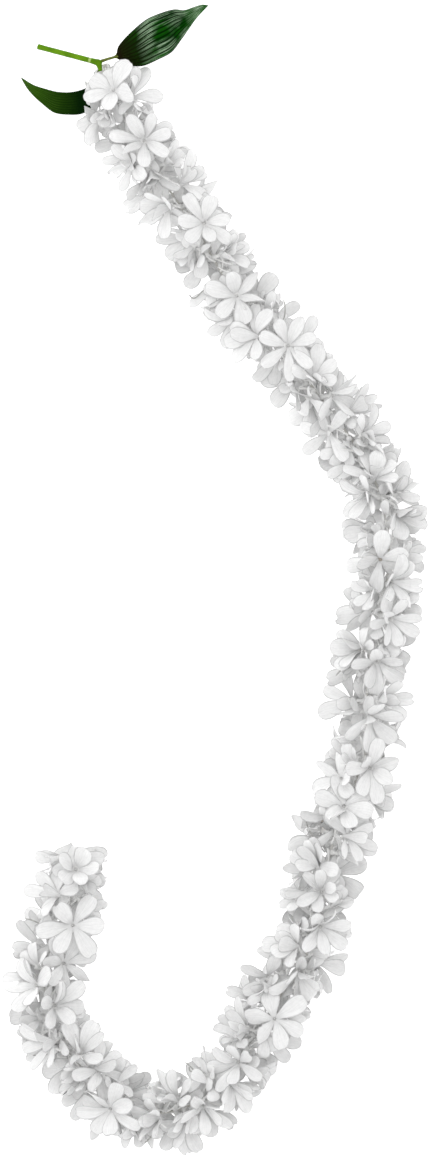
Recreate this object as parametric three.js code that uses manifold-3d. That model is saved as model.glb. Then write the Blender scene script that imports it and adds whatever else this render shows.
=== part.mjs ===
// A fresh flower lei lying on a table: white blooms threaded back to back on one string, in
// a long hook, with a cut green sprig of two leaves bound to its upper end.
// Millimetres, +Z up. Seen from straight above, +X runs right and +Y up the page.

import * as THREE from 'three';
import { mergeVertices } from 'three/addons/utils/BufferGeometryUtils.js';
import Module from 'manifold-3d';

const wasm = await Module();
wasm.setup();

// The view from above: the real size of one pixel, and the pixel at the middle of the view
const MM_PER_PX = 0.65;
const MIDDLE_PX = [220, 581];

// The string, from the sprig's tie to its free end, and the round knot at each end
const STRING_RADIUS = 0.9;
const STRING_SIDES = 6;
const STRING_HEIGHT = 21.5;
const KNOT_RADIUS = 1.9;
const STRING_HOLE_CLEARANCE = 0.35;
const STRING_HOLE_LENGTH = 16;
const STRING_ROUTE_PX = [
  [104.8, 66], [110, 88], [124, 119], [146, 156], [172, 194], [197, 231], [220, 270], [245, 311],
  [276, 342], [304, 376], [331, 412], [357, 448], [378, 488], [388, 531], [388, 576], [380, 620],
  [369, 662], [367, 707], [366, 750], [350, 795], [335, 837], [322, 884], [319, 915], [305, 957],
  [281, 995], [257, 1034], [232, 1073], [198, 1102], [153, 1113], [110, 1097], [77, 1063],
  [52, 1024], [45, 984], [56, 945], [66, 908], [73, 874], [77, 852],
];

// One pair of blooms sits on each straight stretch of the string. Of each pair the upper
// bloom is listed here, from the sprig to the free end: the pixel of its throat, then how
// far it leans right and up the page for one unit of height.
const UPPER_BLOOMS = [
  [113, 90, -0.4, 0.6], [132, 96, 0.7, 0.7], [143, 140, 0, 0], [152, 172, 0.1, -0.9],
  [186, 183, 0.9, 0.6], [167, 206, -1, -0.3], [204, 224, 0, 0], [224, 254, 0.9, 0.4],
  [236, 295, 0.2, 0.2], [234, 318, -0.6, -0.6], [254, 336, -1, -0.2], [288, 346, 0, 0],
  [314, 378, 0.1, 0.2], [333, 396, 1.2, 0], [327, 436, 0, 0], [364, 434, 1, 0.2],
  [373, 477, 0.2, 1.1], [367, 494, -0.9, -0.5], [397, 514, 0.9, -0.3], [380, 560, -0.2, -0.4],
  [391, 582, 0.6, -0.3], [391, 620, 0.5, -0.4], [361, 648, -1.1, 0], [378, 662, 0.1, -0.6],
  [381, 701, 1.1, 0.1], [370, 718, 0.2, -0.9], [370, 768, 0.2, -0.2], [340, 778, -0.9, 0.3],
  [344, 806, 0, 0], [347, 836, 0.8, -0.2], [317, 864, -0.7, 0], [322, 890, 0, 0.1],
  [320, 927, 0.3, -0.6], [295, 945, -0.9, 0.2], [299, 974, 0.5, -0.7], [275, 1020, 0, 0],
  [245, 1028, -0.8, 0.2], [238, 1062, -0.6, -0.3], [233, 1083, 0.7, -0.7], [204, 1107, 0.1, -0.9],
  [177, 1099, -0.6, 0.6], [157, 1117, -0.6, -0.3], [111, 1108, -0.3, -0.3], [98, 1071, 0.8, 0.3],
  [80, 1052, 0.3, 0.8], [53, 1041, -1, -0.2], [56, 1005, 0.3, 0], [36, 985, -0.9, 0.1],
  [64, 963, 0.2, -0.1], [72, 925, 0, 0], [58, 894, -0.9, 0.1], [76, 869, 0, 0.3],
];
const PAIR_COUNT = UPPER_BLOOMS.length;
const FIRST_SEED = 20611;
const HEAD_REACH = 11.8;
const HEAD_REACH_JITTER = 1.5;

// How far the petals stand up from a bloom's flat: in one that faces straight up or down,
// and in one that faces sideways. The share of blooms with a seventh petal, and how much
// of the jitter they take, differ between the upper and the lower bloom of a pair.
const FLAT_OPENING = 16;
const OPENING = 36;
const OPENING_JITTER = 14;
const FACING_JITTER = 22;
const UPPER_TRAITS = { jitterShare: 0.35, sevenShare: 0.6 };
const LOWER_TRAITS = { jitterShare: 0.7, sevenShare: 0.3 };

// How far the lower bloom at either end of the string faces in along the string
const END_LEAN = 0.7;

// One bloom: a slim tube that flares into a ring of petals round a sunken throat
const THROAT_RADIUS = 2.2;
const THROAT_SINK = 1.6;
const FLARE_DEPTH = 4;
const NECK_RADIUS = 1.05;
const CALYX_RADIUS = 2.97;
const CALYX_REACH = 3;
const TUBE_ANGLES = [45, 135, 225, 315];

// One petal: its length and width, and the stations of its blade from root to tip
const PETAL_LENGTH = 21.3;
const PETAL_LENGTH_JITTER = 1.5;
const PETAL_ROOM = 75;
const PETAL_WIDTH_JITTER = 0.6;
const PETAL_BEND = 34;
const PETAL_TWIST = 14;
const PETAL_SWAY = 6;
const PETAL_ELEVATION_JITTER = 5;
const WHORL_STEP = 6;
const KEEL_ROOT = 1;
const PETAL_STATIONS = [
  { along: 0.58, halfWidth: 0.5, keel: 1.15 },
  { along: 0.88, halfWidth: 0.37, keel: 0.95 },
];

// Where a petal's first place is taken, it stands up or lies back by these angles, and as a
// last resort it is a shorter petal. The first share of every petal's length, round the
// throat, stays clear of the other blooms.
const LIFTS = [0, 8, -8, 16, -16, 24, -24, 34, -34, 46, -46, 60];
const SHORTER = [1, 0.84, 0.68, 0.54];
const ROOT_SHARE = 0.25;
const LEAST_ELEVATION = -20;
const MOST_ELEVATION = 84;
const PETAL_GAP = 0.5;
const SAME_BLOOM_GAP = 0.35;
const FLOOR_SINK = 0.8;

// The sprig: a cut stem, its node and the stub that the string is bound to
const STEM_RADIUS = 1.6;
const STEM_SIDES = 8;
const STEM_CUT_PX = [38, 46];
const STEM_CUT_HEIGHT = 9;
const STEM_BOW = 1.5;
const STEM_STEPS = 5;
const STEM_NODE_RADIUS = 2.3;
const STEM_NODE_BEFORE = 3.2;
const STUB_RADIUS = 1.2;
const STUB_END = 5.6;
const STUB_STAND_OFF = 3.4;

// The tie: a wrapped sleeve round the stub and the string
const TIE_START = 2.3;
const TIE_LENGTH = 2.7;
const TIE_WALL = 0.8;
const TIE_CLEARANCE = 0.35;
const TIE_ARC_STEPS = 6;

// The leaves: the two edges of each blade from its stalk to its last row, the height of
// each row, and the pixel of the tip
const LEAF_COLUMNS = 6;
const LEAF_THICKNESS = 0.8;
const LEAF_RIB_HEIGHT = 0.7;
const LEAF_FULL_WIDTH = 16;
const UPPER_LEAF = {
  rows: [
    { edges: [[102.9, 59.4], [102.9, 61.4]], height: 21.5 },
    { edges: [[115.5, 55.4], [116, 58]], height: 23 },
    { edges: [[119, 46], [127, 64.5]], height: 24 },
    { edges: [[130, 33], [142, 66]], height: 24.5 },
    { edges: [[146, 20], [158, 60]], height: 24 },
    { edges: [[161, 14], [171, 52]], height: 22.5 },
    { edges: [[174, 10.5], [180, 39.5]], height: 20 },
    { edges: [[188, 9], [190, 25]], height: 17.5 },
    { edges: [[200, 6.5], [199, 15.5]], height: 15.5 },
  ],
  tip: [208, 5],
  tipHeight: 14,
  arch: 2.6,
};
const LOWER_LEAF = {
  rows: [
    { edges: [[99.6, 67], [101.6, 67.6]], height: 19.3 },
    { edges: [[96, 73], [98.6, 74.6]], height: 17 },
    { edges: [[92.5, 80], [97, 87]], height: 13.5 },
    { edges: [[88, 86], [93, 105]], height: 10 },
    { edges: [[80, 89.5], [82, 113]], height: 7.5 },
    { edges: [[69, 91.5], [68, 114]], height: 6.5 },
    { edges: [[57, 91], [54, 112]], height: 6.5 },
    { edges: [[45, 88], [43, 104]], height: 7.5 },
    { edges: [[34, 84.5], [33, 95]], height: 9 },
    { edges: [[26, 80], [26, 86.5]], height: 10.5 },
  ],
  tip: [21, 77],
  tipHeight: 12,
  arch: -1.6,
};

// Colours of the real pieces
const PETAL_COLOUR = 0xeeeeec;
const STRING_COLOUR = 0xe4e2da;
const STEM_COLOUR = 0x7fae22;
const LEAF_COLOUR = 0x0f4a1a;

// Corners nearer than this are one corner
const SAME_POINT = 1e-4;

const UP = new THREE.Vector3(0, 0, 1);
const radians = THREE.MathUtils.degToRad;

function atPixel([x, y], height) {
  return new THREE.Vector3((x - MIDDLE_PX[0]) * MM_PER_PX, (MIDDLE_PX[1] - y) * MM_PER_PX, height);
}

function makeRandom(firstSeed) {
  let seed = firstSeed;
  return function draw() {
    seed = (seed * 48271) % 2147483647;
    return seed / 2147483647;
  };
}

const draw = makeRandom(FIRST_SEED);

function jitter(amount) {
  return (2 * draw() - 1) * amount;
}

function along(origin, direction, distance) {
  return origin.clone().addScaledVector(direction, distance);
}

// The part of a vector that stands square to an axis, one unit long
function squareTo(vector, axis) {
  return vector.clone().addScaledVector(axis, -vector.dot(axis)).normalize();
}

// Closed solids

function solidFrom(points, triangles) {
  const vertProperties = new Float32Array(points.flatMap((point) => point.toArray()));
  const triVerts = new Uint32Array(triangles.flat());
  return new wasm.Manifold(new wasm.Mesh({ numProp: 3, vertProperties, triVerts }));
}

function solidFromGeometry(geometry) {
  const bare = geometry.clone();
  bare.deleteAttribute('normal');
  bare.deleteAttribute('uv');
  const merged = mergeVertices(bare, SAME_POINT);
  const vertProperties = new Float32Array(merged.attributes.position.array);
  const triVerts = new Uint32Array(merged.index.array);
  return new wasm.Manifold(new wasm.Mesh({ numProp: 3, vertProperties, triVerts }));
}

function meshFrom(solid, name, material) {
  const { numProp, vertProperties, triVerts } = solid.getMesh();
  const positions = new Float32Array((vertProperties.length / numProp) * 3);
  for (let index = 0; index < positions.length / 3; index += 1) {
    positions.set(vertProperties.subarray(index * numProp, index * numProp + 3), index * 3);
  }
  const geometry = new THREE.BufferGeometry();
  geometry.setAttribute('position', new THREE.BufferAttribute(positions, 3));
  geometry.setIndex(new THREE.BufferAttribute(new Uint32Array(triVerts), 1));
  geometry.computeVertexNormals();
  const mesh = new THREE.Mesh(geometry, material);
  mesh.name = name;
  return mesh;
}

// Clearance between pieces, as lists of triangles with a box round each

function trianglesOf(points, faces) {
  const triangles = faces.map((face) => {
    const triangle = new THREE.Triangle(...face.map((index) => points[index]));
    triangle.box = new THREE.Box3().setFromPoints([triangle.a, triangle.b, triangle.c]);
    return triangle;
  });
  const box = triangles.reduce((sum, triangle) => sum.union(triangle.box), new THREE.Box3());
  return { triangles, box };
}

function trianglesOfSolid(solid) {
  const { vertProperties, triVerts, numProp } = solid.getMesh();
  const points = [];
  for (let index = 0; index < vertProperties.length; index += numProp) {
    points.push(new THREE.Vector3().fromArray(vertProperties, index));
  }
  const faces = [];
  for (let index = 0; index < triVerts.length; index += 3) {
    faces.push(Array.from(triVerts.subarray(index, index + 3)));
  }
  return trianglesOf(points, faces);
}

function edgesOf({ a, b, c }) {
  return [new THREE.Line3(a, b), new THREE.Line3(b, c), new THREE.Line3(c, a)];
}

function edgePierces(edge, triangle) {
  const step = edge.delta(new THREE.Vector3());
  const ray = new THREE.Ray(edge.start, step.clone().normalize());
  const hit = ray.intersectTriangle(triangle.a, triangle.b, triangle.c, false, new THREE.Vector3());
  return hit !== null && hit.distanceTo(edge.start) <= step.length();
}

function trianglesCross(one, other) {
  return edgesOf(one).some((edge) => edgePierces(edge, other))
    || edgesOf(other).some((edge) => edgePierces(edge, one));
}

function cornerNear(corners, triangle, gap) {
  const nearest = new THREE.Vector3();
  return corners.some((corner) => triangle.closestPointToPoint(corner, nearest).distanceTo(corner) < gap);
}

function trianglesNear(one, other, gap) {
  if (cornerNear([one.a, one.b, one.c], other, gap) || cornerNear([other.a, other.b, other.c], one, gap)) {
    return true;
  }
  const near = gap * gap;
  const oneEdges = edgesOf(one);
  const otherEdges = edgesOf(other);
  return oneEdges.some((edge) => otherEdges.some((second) => edge.distanceSqToLine3(second) < near))
    || trianglesCross(one, other);
}

function cornersMeet(one, other) {
  const corners = [other.a, other.b, other.c];
  const met = (corner) => corners.some((second) => corner.distanceTo(second) < SAME_POINT);
  return [one.a, one.b, one.c].some(met);
}

// Whether two pieces of one skin cross anywhere but at the corners they share
function piecesCross(one, other) {
  return one.triangles.some((first) => other.triangles.some((second) => first.box.intersectsBox(second.box)
    && !cornersMeet(first, second) && trianglesCross(first, second)));
}

function piecesNear(one, other, gap) {
  const reach = one.box.clone().expandByScalar(gap);
  if (!reach.intersectsBox(other.box)) {
    return false;
  }
  const candidates = other.triangles.filter((triangle) => reach.intersectsBox(triangle.box));
  return one.triangles.some((triangle) => {
    const close = triangle.box.clone().expandByScalar(gap);
    return candidates.some((second) => close.intersectsBox(second.box) && trianglesNear(triangle, second, gap));
  });
}

// The string's corners: one straight stretch between two corners carries one pair

const route = new THREE.CatmullRomCurve3(
  STRING_ROUTE_PX.map((pixel) => atPixel(pixel, STRING_HEIGHT)), false, 'catmullrom', 0.5,
);
const stringCorners = route.getSpacedPoints(PAIR_COUNT);

function buildString() {
  const ring = [];
  for (let side = 0; side < STRING_SIDES; side += 1) {
    const angle = (2 * Math.PI * side) / STRING_SIDES;
    ring.push(new THREE.Vector2(Math.cos(angle), Math.sin(angle)).multiplyScalar(STRING_RADIUS));
  }
  const cord = new THREE.ExtrudeGeometry(new THREE.Shape(ring), {
    steps: PAIR_COUNT, extrudePath: route, bevelEnabled: false,
  });
  let solid = solidFromGeometry(cord);
  for (const end of [stringCorners[0], stringCorners[PAIR_COUNT]]) {
    const knot = new THREE.IcosahedronGeometry(KNOT_RADIUS, 0).translate(...end.toArray());
    solid = solid.add(solidFromGeometry(knot));
  }
  return solid;
}

// Bloom pairs

function stretch(index) {
  const start = stringCorners[index];
  const end = stringCorners[index + 1];
  const middle = start.clone().lerp(end, 0.5);
  const tangent = end.clone().sub(start).normalize();
  const side = UP.clone().cross(tangent);
  return { middle, tangent, side };
}

// Where a tube points that carries its throat to a pixel of the view
function towardsPixel(pixel, middle) {
  const offset = atPixel(pixel, STRING_HEIGHT).sub(middle);
  offset.z = Math.sqrt(Math.max(HEAD_REACH * HEAD_REACH - offset.lengthSq(), 0));
  return offset.normalize();
}

// Draws one bloom from the direction of its tube and the direction it faces
function drawBloom(index, tube, faced, { jitterShare, sevenShare }) {
  const { middle, tangent } = stretch(index);
  const reach = HEAD_REACH + jitter(HEAD_REACH_JITTER);
  const opening = THREE.MathUtils.lerp(FLAT_OPENING, OPENING, Math.hypot(faced.x, faced.y));
  const lean = jitter(FACING_JITTER * jitterShare);
  const nod = jitter(FACING_JITTER * jitterShare);
  const roll = 360 * draw();
  const ownOpening = opening + jitter(OPENING_JITTER * jitterShare);
  const count = draw() < sevenShare ? 7 : 6;
  const across = squareTo(tangent, faced);
  const facing = along(faced, across, Math.tan(radians(lean)));
  facing.addScaledVector(faced.clone().cross(across), Math.tan(radians(nod))).normalize();
  const throat = along(middle, tube, reach);
  const neckAxis = facing.clone().add(tube).normalize();
  const frameX = squareTo(tangent, facing);
  const frameY = facing.clone().cross(frameX);
  const petals = [];
  for (let petal = 0; petal < count; petal += 1) {
    const whorl = petal % 2 === 0 ? WHORL_STEP : -WHORL_STEP;
    petals.push({
      azimuth: roll + (360 * petal) / count,
      sway: jitter(PETAL_SWAY),
      elevation: ownOpening + whorl + jitter(PETAL_ELEVATION_JITTER),
      twist: jitter(PETAL_TWIST),
      length: PETAL_LENGTH + jitter(PETAL_LENGTH_JITTER),
      width: PETAL_ROOM / count + jitter(PETAL_WIDTH_JITTER),
    });
  }
  return { middle, tangent, tube, neckAxis, facing, throat, frameX, frameY, roll, count, petals };
}

function drawPair([x, y, leanRight, leanUp], index) {
  const { middle, tangent } = stretch(index);
  const upwards = towardsPixel([x, y], middle);
  const downwards = squareTo(upwards, tangent).negate();
  const lowerFaced = downwards.clone();
  if (index === 0) {
    lowerFaced.addScaledVector(tangent, END_LEAN).normalize();
  }
  if (index === PAIR_COUNT - 1) {
    lowerFaced.addScaledVector(tangent, -END_LEAN).normalize();
  }
  const faced = new THREE.Vector3(leanRight, leanUp, 1).normalize();
  return [
    drawBloom(index, upwards, faced, UPPER_TRAITS),
    drawBloom(index, downwards, lowerFaced, LOWER_TRAITS),
  ];
}

function aroundFacing(bloom, azimuth) {
  const angle = radians(azimuth);
  return bloom.frameX.clone().multiplyScalar(Math.cos(angle)).addScaledVector(bloom.frameY, Math.sin(angle));
}

function rootPoint(bloom, slot) {
  const azimuth = bloom.roll + (360 * (slot - 0.5)) / bloom.count;
  return along(bloom.throat, aroundFacing(bloom, azimuth), THROAT_RADIUS);
}

// A petal's ten points: left and right root, keel root, then left, right and keel at each
// station, and the tip. Its mid line bends back from the throat to the tip.
function petalPoints(bloom, slot, lift, scale) {
  const petal = bloom.petals[slot];
  const length = petal.length * scale;
  const elevation = THREE.MathUtils.clamp(petal.elevation + lift, LEAST_ELEVATION, MOST_ELEVATION);
  const outward = aroundFacing(bloom, petal.azimuth + petal.sway);
  const across = bloom.facing.clone().cross(outward);
  const rootOut = aroundFacing(bloom, petal.azimuth);
  const keelRoot = along(along(bloom.throat, rootOut, THROAT_RADIUS), bloom.facing, -KEEL_ROOT);
  const points = [rootPoint(bloom, slot), rootPoint(bloom, slot + 1), keelRoot];
  let place = along(bloom.throat, outward, THROAT_RADIUS);
  let reached = 0;
  for (const station of [...PETAL_STATIONS, { along: 1 }]) {
    const halfway = (reached + station.along) / 2;
    const slope = radians(elevation + PETAL_BEND * (0.5 - halfway));
    const step = outward.clone().multiplyScalar(Math.cos(slope)).addScaledVector(bloom.facing, Math.sin(slope));
    const normal = step.clone().cross(across);
    place = along(place, step, (station.along - reached) * length);
    reached = station.along;
    if (station.halfWidth) {
      const turn = radians(petal.twist * station.along);
      const span = across.clone().multiplyScalar(Math.cos(turn)).addScaledVector(normal, Math.sin(turn));
      const under = normal.clone().multiplyScalar(Math.cos(turn)).addScaledVector(across, -Math.sin(turn));
      const half = station.halfWidth * petal.width;
      points.push(along(place, span, -half), along(place, span, half), along(place, under, -station.keel));
    }
  }
  points.push(place);
  return points;
}

// A petal's skin over those points; the part of it beyond the root, which neighbours in one
// bloom don't share; and the face that closes an empty root
const PETAL_FACES = [
  [0, 3, 4], [0, 4, 1], [3, 6, 7], [3, 7, 4], [6, 9, 7],
  [0, 2, 5], [0, 5, 3], [3, 5, 8], [3, 8, 6], [6, 8, 9],
  [2, 1, 4], [2, 4, 5], [5, 4, 7], [5, 7, 8], [8, 7, 9],
];
const OUTER_FACES = [[3, 6, 7], [3, 7, 4], [6, 9, 7], [3, 5, 8], [3, 8, 6], [5, 4, 7], [5, 7, 8]];
const CLOSED_ROOT = [[0, 2, 1]];

function squareRing(centre, tangent, axis, radius) {
  const first = squareTo(tangent, axis);
  const second = axis.clone().cross(first);
  return TUBE_ANGLES.map((degrees) => {
    const angle = radians(degrees);
    const offset = first.clone().multiplyScalar(Math.cos(angle)).addScaledVector(second, Math.sin(angle));
    return along(centre, offset, radius);
  });
}

// Joins two rings that run the same way round, each with its own number of corners. Each
// ring is a list of point numbers, and its angles rise from the first to the last.
function bridge(front, frontAngles, back, backAngles) {
  const faces = [];
  let near = 0;
  let far = 0;
  const angleAt = (angles, index) => angles[index % angles.length] + 360 * Math.floor(index / angles.length);
  while (near < front.length || far < back.length) {
    const frontNow = front[near % front.length];
    const backNow = back[far % back.length];
    const frontIsNext = far >= back.length
      || (near < front.length && angleAt(frontAngles, near + 1) <= angleAt(backAngles, far + 1));
    if (frontIsNext) {
      near += 1;
      faces.push([frontNow, backNow, front[near % front.length]]);
    } else {
      far += 1;
      faces.push([frontNow, backNow, back[far % back.length]]);
    }
  }
  return faces;
}

// The closed skin of one pair: throats, flares, tubes and calyx, with the chosen petals, or
// with every petal's root closed where no petals are given
function pairSkin(pair, chosen) {
  const points = [];
  const faces = [];
  const add = (list) => list.map((point) => points.push(point) - 1);
  const calyxRings = pair.map((bloom, which) => {
    const roots = add(bloom.petals.map((petal, slot) => rootPoint(bloom, slot)));
    const keels = [];
    const centre = points.push(along(bloom.throat, bloom.facing, -THROAT_SINK)) - 1;
    bloom.petals.forEach((petal, slot) => {
      const left = roots[slot];
      const right = roots[(slot + 1) % bloom.count];
      const placed = petalPoints(bloom, slot, 0, 1);
      const own = chosen ? chosen[which][slot] : null;
      const keel = points.push(placed[2]) - 1;
      keels.push(keel);
      faces.push([left, right, centre]);
      const numbers = own ? [left, right, keel, ...add(own.slice(3))] : [left, right, keel];
      const shape = own ? PETAL_FACES : CLOSED_ROOT;
      faces.push(...shape.map((face) => face.map((corner) => numbers[corner])));
    });
    const rim = [];
    bloom.petals.forEach((petal, slot) => {
      rim.push({ point: roots[slot], angle: bloom.roll + (360 * (slot - 0.5)) / bloom.count });
      rim.push({ point: keels[slot], angle: bloom.roll + (360 * slot) / bloom.count });
    });
    rim.forEach((corner) => {
      corner.angle = TUBE_ANGLES[0] + THREE.MathUtils.euclideanModulo(corner.angle - TUBE_ANGLES[0], 360);
    });
    rim.sort((one, other) => one.angle - other.angle);
    const neckAt = along(bloom.throat, bloom.neckAxis, -FLARE_DEPTH);
    const neck = add(squareRing(neckAt, bloom.tangent, bloom.neckAxis, NECK_RADIUS));
    const calyxAt = along(bloom.middle, bloom.tube, CALYX_REACH);
    const calyx = add(squareRing(calyxAt, bloom.tangent, bloom.tube, CALYX_RADIUS));
    const rimPoints = rim.map((corner) => corner.point);
    const rimAngles = rim.map((corner) => corner.angle);
    faces.push(...bridge(rimPoints, rimAngles, neck, TUBE_ANGLES));
    faces.push(...bridge(neck, TUBE_ANGLES, calyx, TUBE_ANGLES));
    return calyx;
  });
  const mirrored = [...calyxRings[1]].reverse();
  faces.push(...bridge(calyxRings[0], TUBE_ANGLES, mirrored, TUBE_ANGLES));
  return { points, faces };
}

// Chooses a place for every petal, the blooms that face up most first
function choosePetals(pairs, fixedPieces) {
  const skinOf = (pair, petals) => {
    const { points, faces } = pairSkin(pair, petals);
    return trianglesOf(points, faces);
  };
  const bare = pairs.map((pair) => skinOf(pair, null));
  const cores = pairs.map((pair) => skinOf(
    pair, pair.map((bloom) => bloom.petals.map((petal, slot) => petalPoints(bloom, slot, 0, ROOT_SHARE))),
  ));
  const chosen = pairs.map((pair) => pair.map((bloom) => new Array(bloom.count).fill(null)));
  const blooms = pairs.flatMap((pair, number) => pair.map((bloom, which) => ({ bloom, number, which })));
  blooms.sort((one, other) => other.bloom.facing.z - one.bloom.facing.z);
  const placed = [];
  for (const { bloom, number, which } of blooms) {
    const others = [...fixedPieces, ...placed, ...cores.filter((core, index) => index !== number)];
    const own = [];
    const ownOuter = [];
    bloom.petals.forEach((petal, slot) => {
      for (const scale of SHORTER) {
        for (const lift of LIFTS) {
          const points = petalPoints(bloom, slot, lift, scale);
          if (points.some((point) => point.z < -FLOOR_SINK)) {
            continue;
          }
          const piece = trianglesOf(points, PETAL_FACES);
          const outer = trianglesOf(points, OUTER_FACES);
          const blocked = others.some((other) => piecesNear(piece, other, PETAL_GAP))
            || ownOuter.some((other) => piecesNear(outer, other, SAME_BLOOM_GAP))
            || own.some((other) => piecesCross(piece, other))
            || piecesCross(piece, bare[number]);
          if (!blocked) {
            chosen[number][which][slot] = points;
            own.push(piece);
            ownOuter.push(outer);
            return;
          }
        }
      }
    });
    placed.push(...own);
  }
  return chosen;
}

// The square hole in the calyx that the string runs through
function stringHole({ middle, tangent, tube }) {
  const side = squareTo(tube, tangent);
  const basis = new THREE.Matrix4().makeBasis(tangent, side, tangent.clone().cross(side));
  const width = 2 * (STRING_RADIUS + STRING_HOLE_CLEARANCE);
  const hole = new THREE.BoxGeometry(STRING_HOLE_LENGTH, width, width);
  return solidFromGeometry(hole.applyMatrix4(basis.setPosition(middle)));
}

// What lies under the table's surface, below one pair
function tableUnder(pair) {
  const size = 4 * (HEAD_REACH + PETAL_LENGTH);
  const block = new THREE.BoxGeometry(size, size, size);
  return solidFromGeometry(block.translate(pair[0].middle.x, pair[0].middle.y, -size / 2));
}

function buildPair(pair, chosen) {
  const { points, faces } = pairSkin(pair, chosen);
  const whole = solidFrom(points, faces).subtract(stringHole(pair[0]));
  return points.some((point) => point.z < 0) ? whole.subtract(tableUnder(pair)) : whole;
}

// The sprig

const firstStretch = stretch(0);
const stubAxis = along(stringCorners[0], firstStretch.side, -STUB_STAND_OFF);
const stemNode = along(stubAxis, firstStretch.tangent, -STEM_NODE_BEFORE);

function roundBar(path, radius, steps) {
  const ring = [];
  for (let side = 0; side < STEM_SIDES; side += 1) {
    const angle = (2 * Math.PI * side) / STEM_SIDES;
    ring.push(new THREE.Vector2(Math.cos(angle), Math.sin(angle)).multiplyScalar(radius));
  }
  const bar = new THREE.ExtrudeGeometry(new THREE.Shape(ring), {
    steps, extrudePath: path, bevelEnabled: false,
  });
  return solidFromGeometry(bar);
}

function buildStem() {
  const cutEnd = atPixel(STEM_CUT_PX, STEM_CUT_HEIGHT);
  const bow = cutEnd.clone().lerp(stemNode, 0.5).addScaledVector(UP, STEM_BOW);
  const stalk = roundBar(new THREE.QuadraticBezierCurve3(cutEnd, bow, stemNode), STEM_RADIUS, STEM_STEPS);
  const stubEnd = along(stubAxis, firstStretch.tangent, STUB_END);
  const stub = roundBar(new THREE.LineCurve3(stemNode, stubEnd), STUB_RADIUS, 1);
  const swelling = new THREE.IcosahedronGeometry(STEM_NODE_RADIUS, 1).translate(...stemNode.toArray());
  return stalk.add(solidFromGeometry(swelling)).add(stub);
}

function buildTie() {
  const inner = Math.max(STRING_RADIUS, STUB_RADIUS) + TIE_CLEARANCE;
  const loop = (path, radius) => path
    .absarc(STUB_STAND_OFF / 2, 0, radius, -Math.PI / 2, Math.PI / 2)
    .absarc(-STUB_STAND_OFF / 2, 0, radius, Math.PI / 2, 1.5 * Math.PI);
  const wrap = loop(new THREE.Shape(), inner + TIE_WALL);
  wrap.holes.push(loop(new THREE.Path(), inner));
  const sleeve = new THREE.ExtrudeGeometry(wrap, {
    depth: TIE_LENGTH, curveSegments: TIE_ARC_STEPS, bevelEnabled: false,
  });
  const { tangent, side } = firstStretch;
  const basis = new THREE.Matrix4().makeBasis(side, tangent.clone().cross(side), tangent);
  const start = along(along(stringCorners[0], tangent, TIE_START), side, -STUB_STAND_OFF / 2);
  return solidFromGeometry(sleeve.applyMatrix4(basis.setPosition(start)));
}

// A leaf blade: rows of points between its two edges, arched across and ribbed along its
// length, with an upper and a lower face split alike
function buildLeaf(leaf) {
  const columns = LEAF_COLUMNS;
  const last = leaf.rows.length - 1;
  const points = [];
  leaf.rows.forEach(({ edges, height }, row) => {
    const first = atPixel(edges[0], height);
    const second = atPixel(edges[1], height);
    const fullness = Math.min(1, first.distanceTo(second) / LEAF_FULL_WIDTH);
    for (let column = 0; column <= columns; column += 1) {
      const across = column / columns;
      const arch = leaf.arch * (1 - (2 * across - 1) ** 2);
      const rib = column % 2 === 1 ? LEAF_RIB_HEIGHT : 0;
      const middle = first.clone().lerp(second, across).addScaledVector(UP, (arch + rib) * fullness);
      points.push(along(middle, UP, LEAF_THICKNESS / 2), along(middle, UP, -LEAF_THICKNESS / 2));
    }
  });
  const top = (row, column) => 2 * (row * (columns + 1) + column);
  const tip = points.length;
  points.push(atPixel(leaf.tip, leaf.tipHeight + LEAF_THICKNESS / 2));
  points.push(atPixel(leaf.tip, leaf.tipHeight - LEAF_THICKNESS / 2));
  const faces = [];
  const bothFaces = (one, two, three) => faces.push([one, two, three], [one + 1, three + 1, two + 1]);
  const wall = (one, two) => faces.push([one, one + 1, two + 1], [one, two + 1, two]);
  for (let row = 0; row < last; row += 1) {
    for (let column = 0; column < columns; column += 1) {
      bothFaces(top(row, column), top(row, column + 1), top(row + 1, column + 1));
      bothFaces(top(row, column), top(row + 1, column + 1), top(row + 1, column));
    }
    wall(top(row + 1, 0), top(row, 0));
    wall(top(row, columns), top(row + 1, columns));
  }
  for (let column = 0; column < columns; column += 1) {
    bothFaces(top(last, column), top(last, column + 1), tip);
    wall(top(0, column), top(0, column + 1));
  }
  wall(tip, top(last, 0));
  wall(top(last, columns), tip);
  const acrossRow = points[top(2, columns)].clone().sub(points[top(2, 0)]);
  const alongRow = points[top(3, 0)].clone().sub(points[top(2, 0)]);
  const turned = acrossRow.cross(alongRow).z < 0;
  return solidFrom(points, turned ? faces.map((face) => [...face].reverse()) : faces);
}

// The lei

const petalFinish = new THREE.MeshStandardMaterial({ color: PETAL_COLOUR, roughness: 0.55, metalness: 0 });
const stringFinish = new THREE.MeshStandardMaterial({ color: STRING_COLOUR, roughness: 0.8, metalness: 0 });
const stemFinish = new THREE.MeshStandardMaterial({ color: STEM_COLOUR, roughness: 0.5, metalness: 0 });
const leafFinish = new THREE.MeshStandardMaterial({ color: LEAF_COLOUR, roughness: 0.35, metalness: 0 });

const string = buildString();
const stem = buildStem();
const tie = buildTie();
const upperLeaf = buildLeaf(UPPER_LEAF);
const lowerLeaf = buildLeaf(LOWER_LEAF);
const pairs = UPPER_BLOOMS.map(drawPair);
const chosen = choosePetals(pairs, [string, stem, tie, upperLeaf, lowerLeaf].map(trianglesOfSolid));

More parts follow.
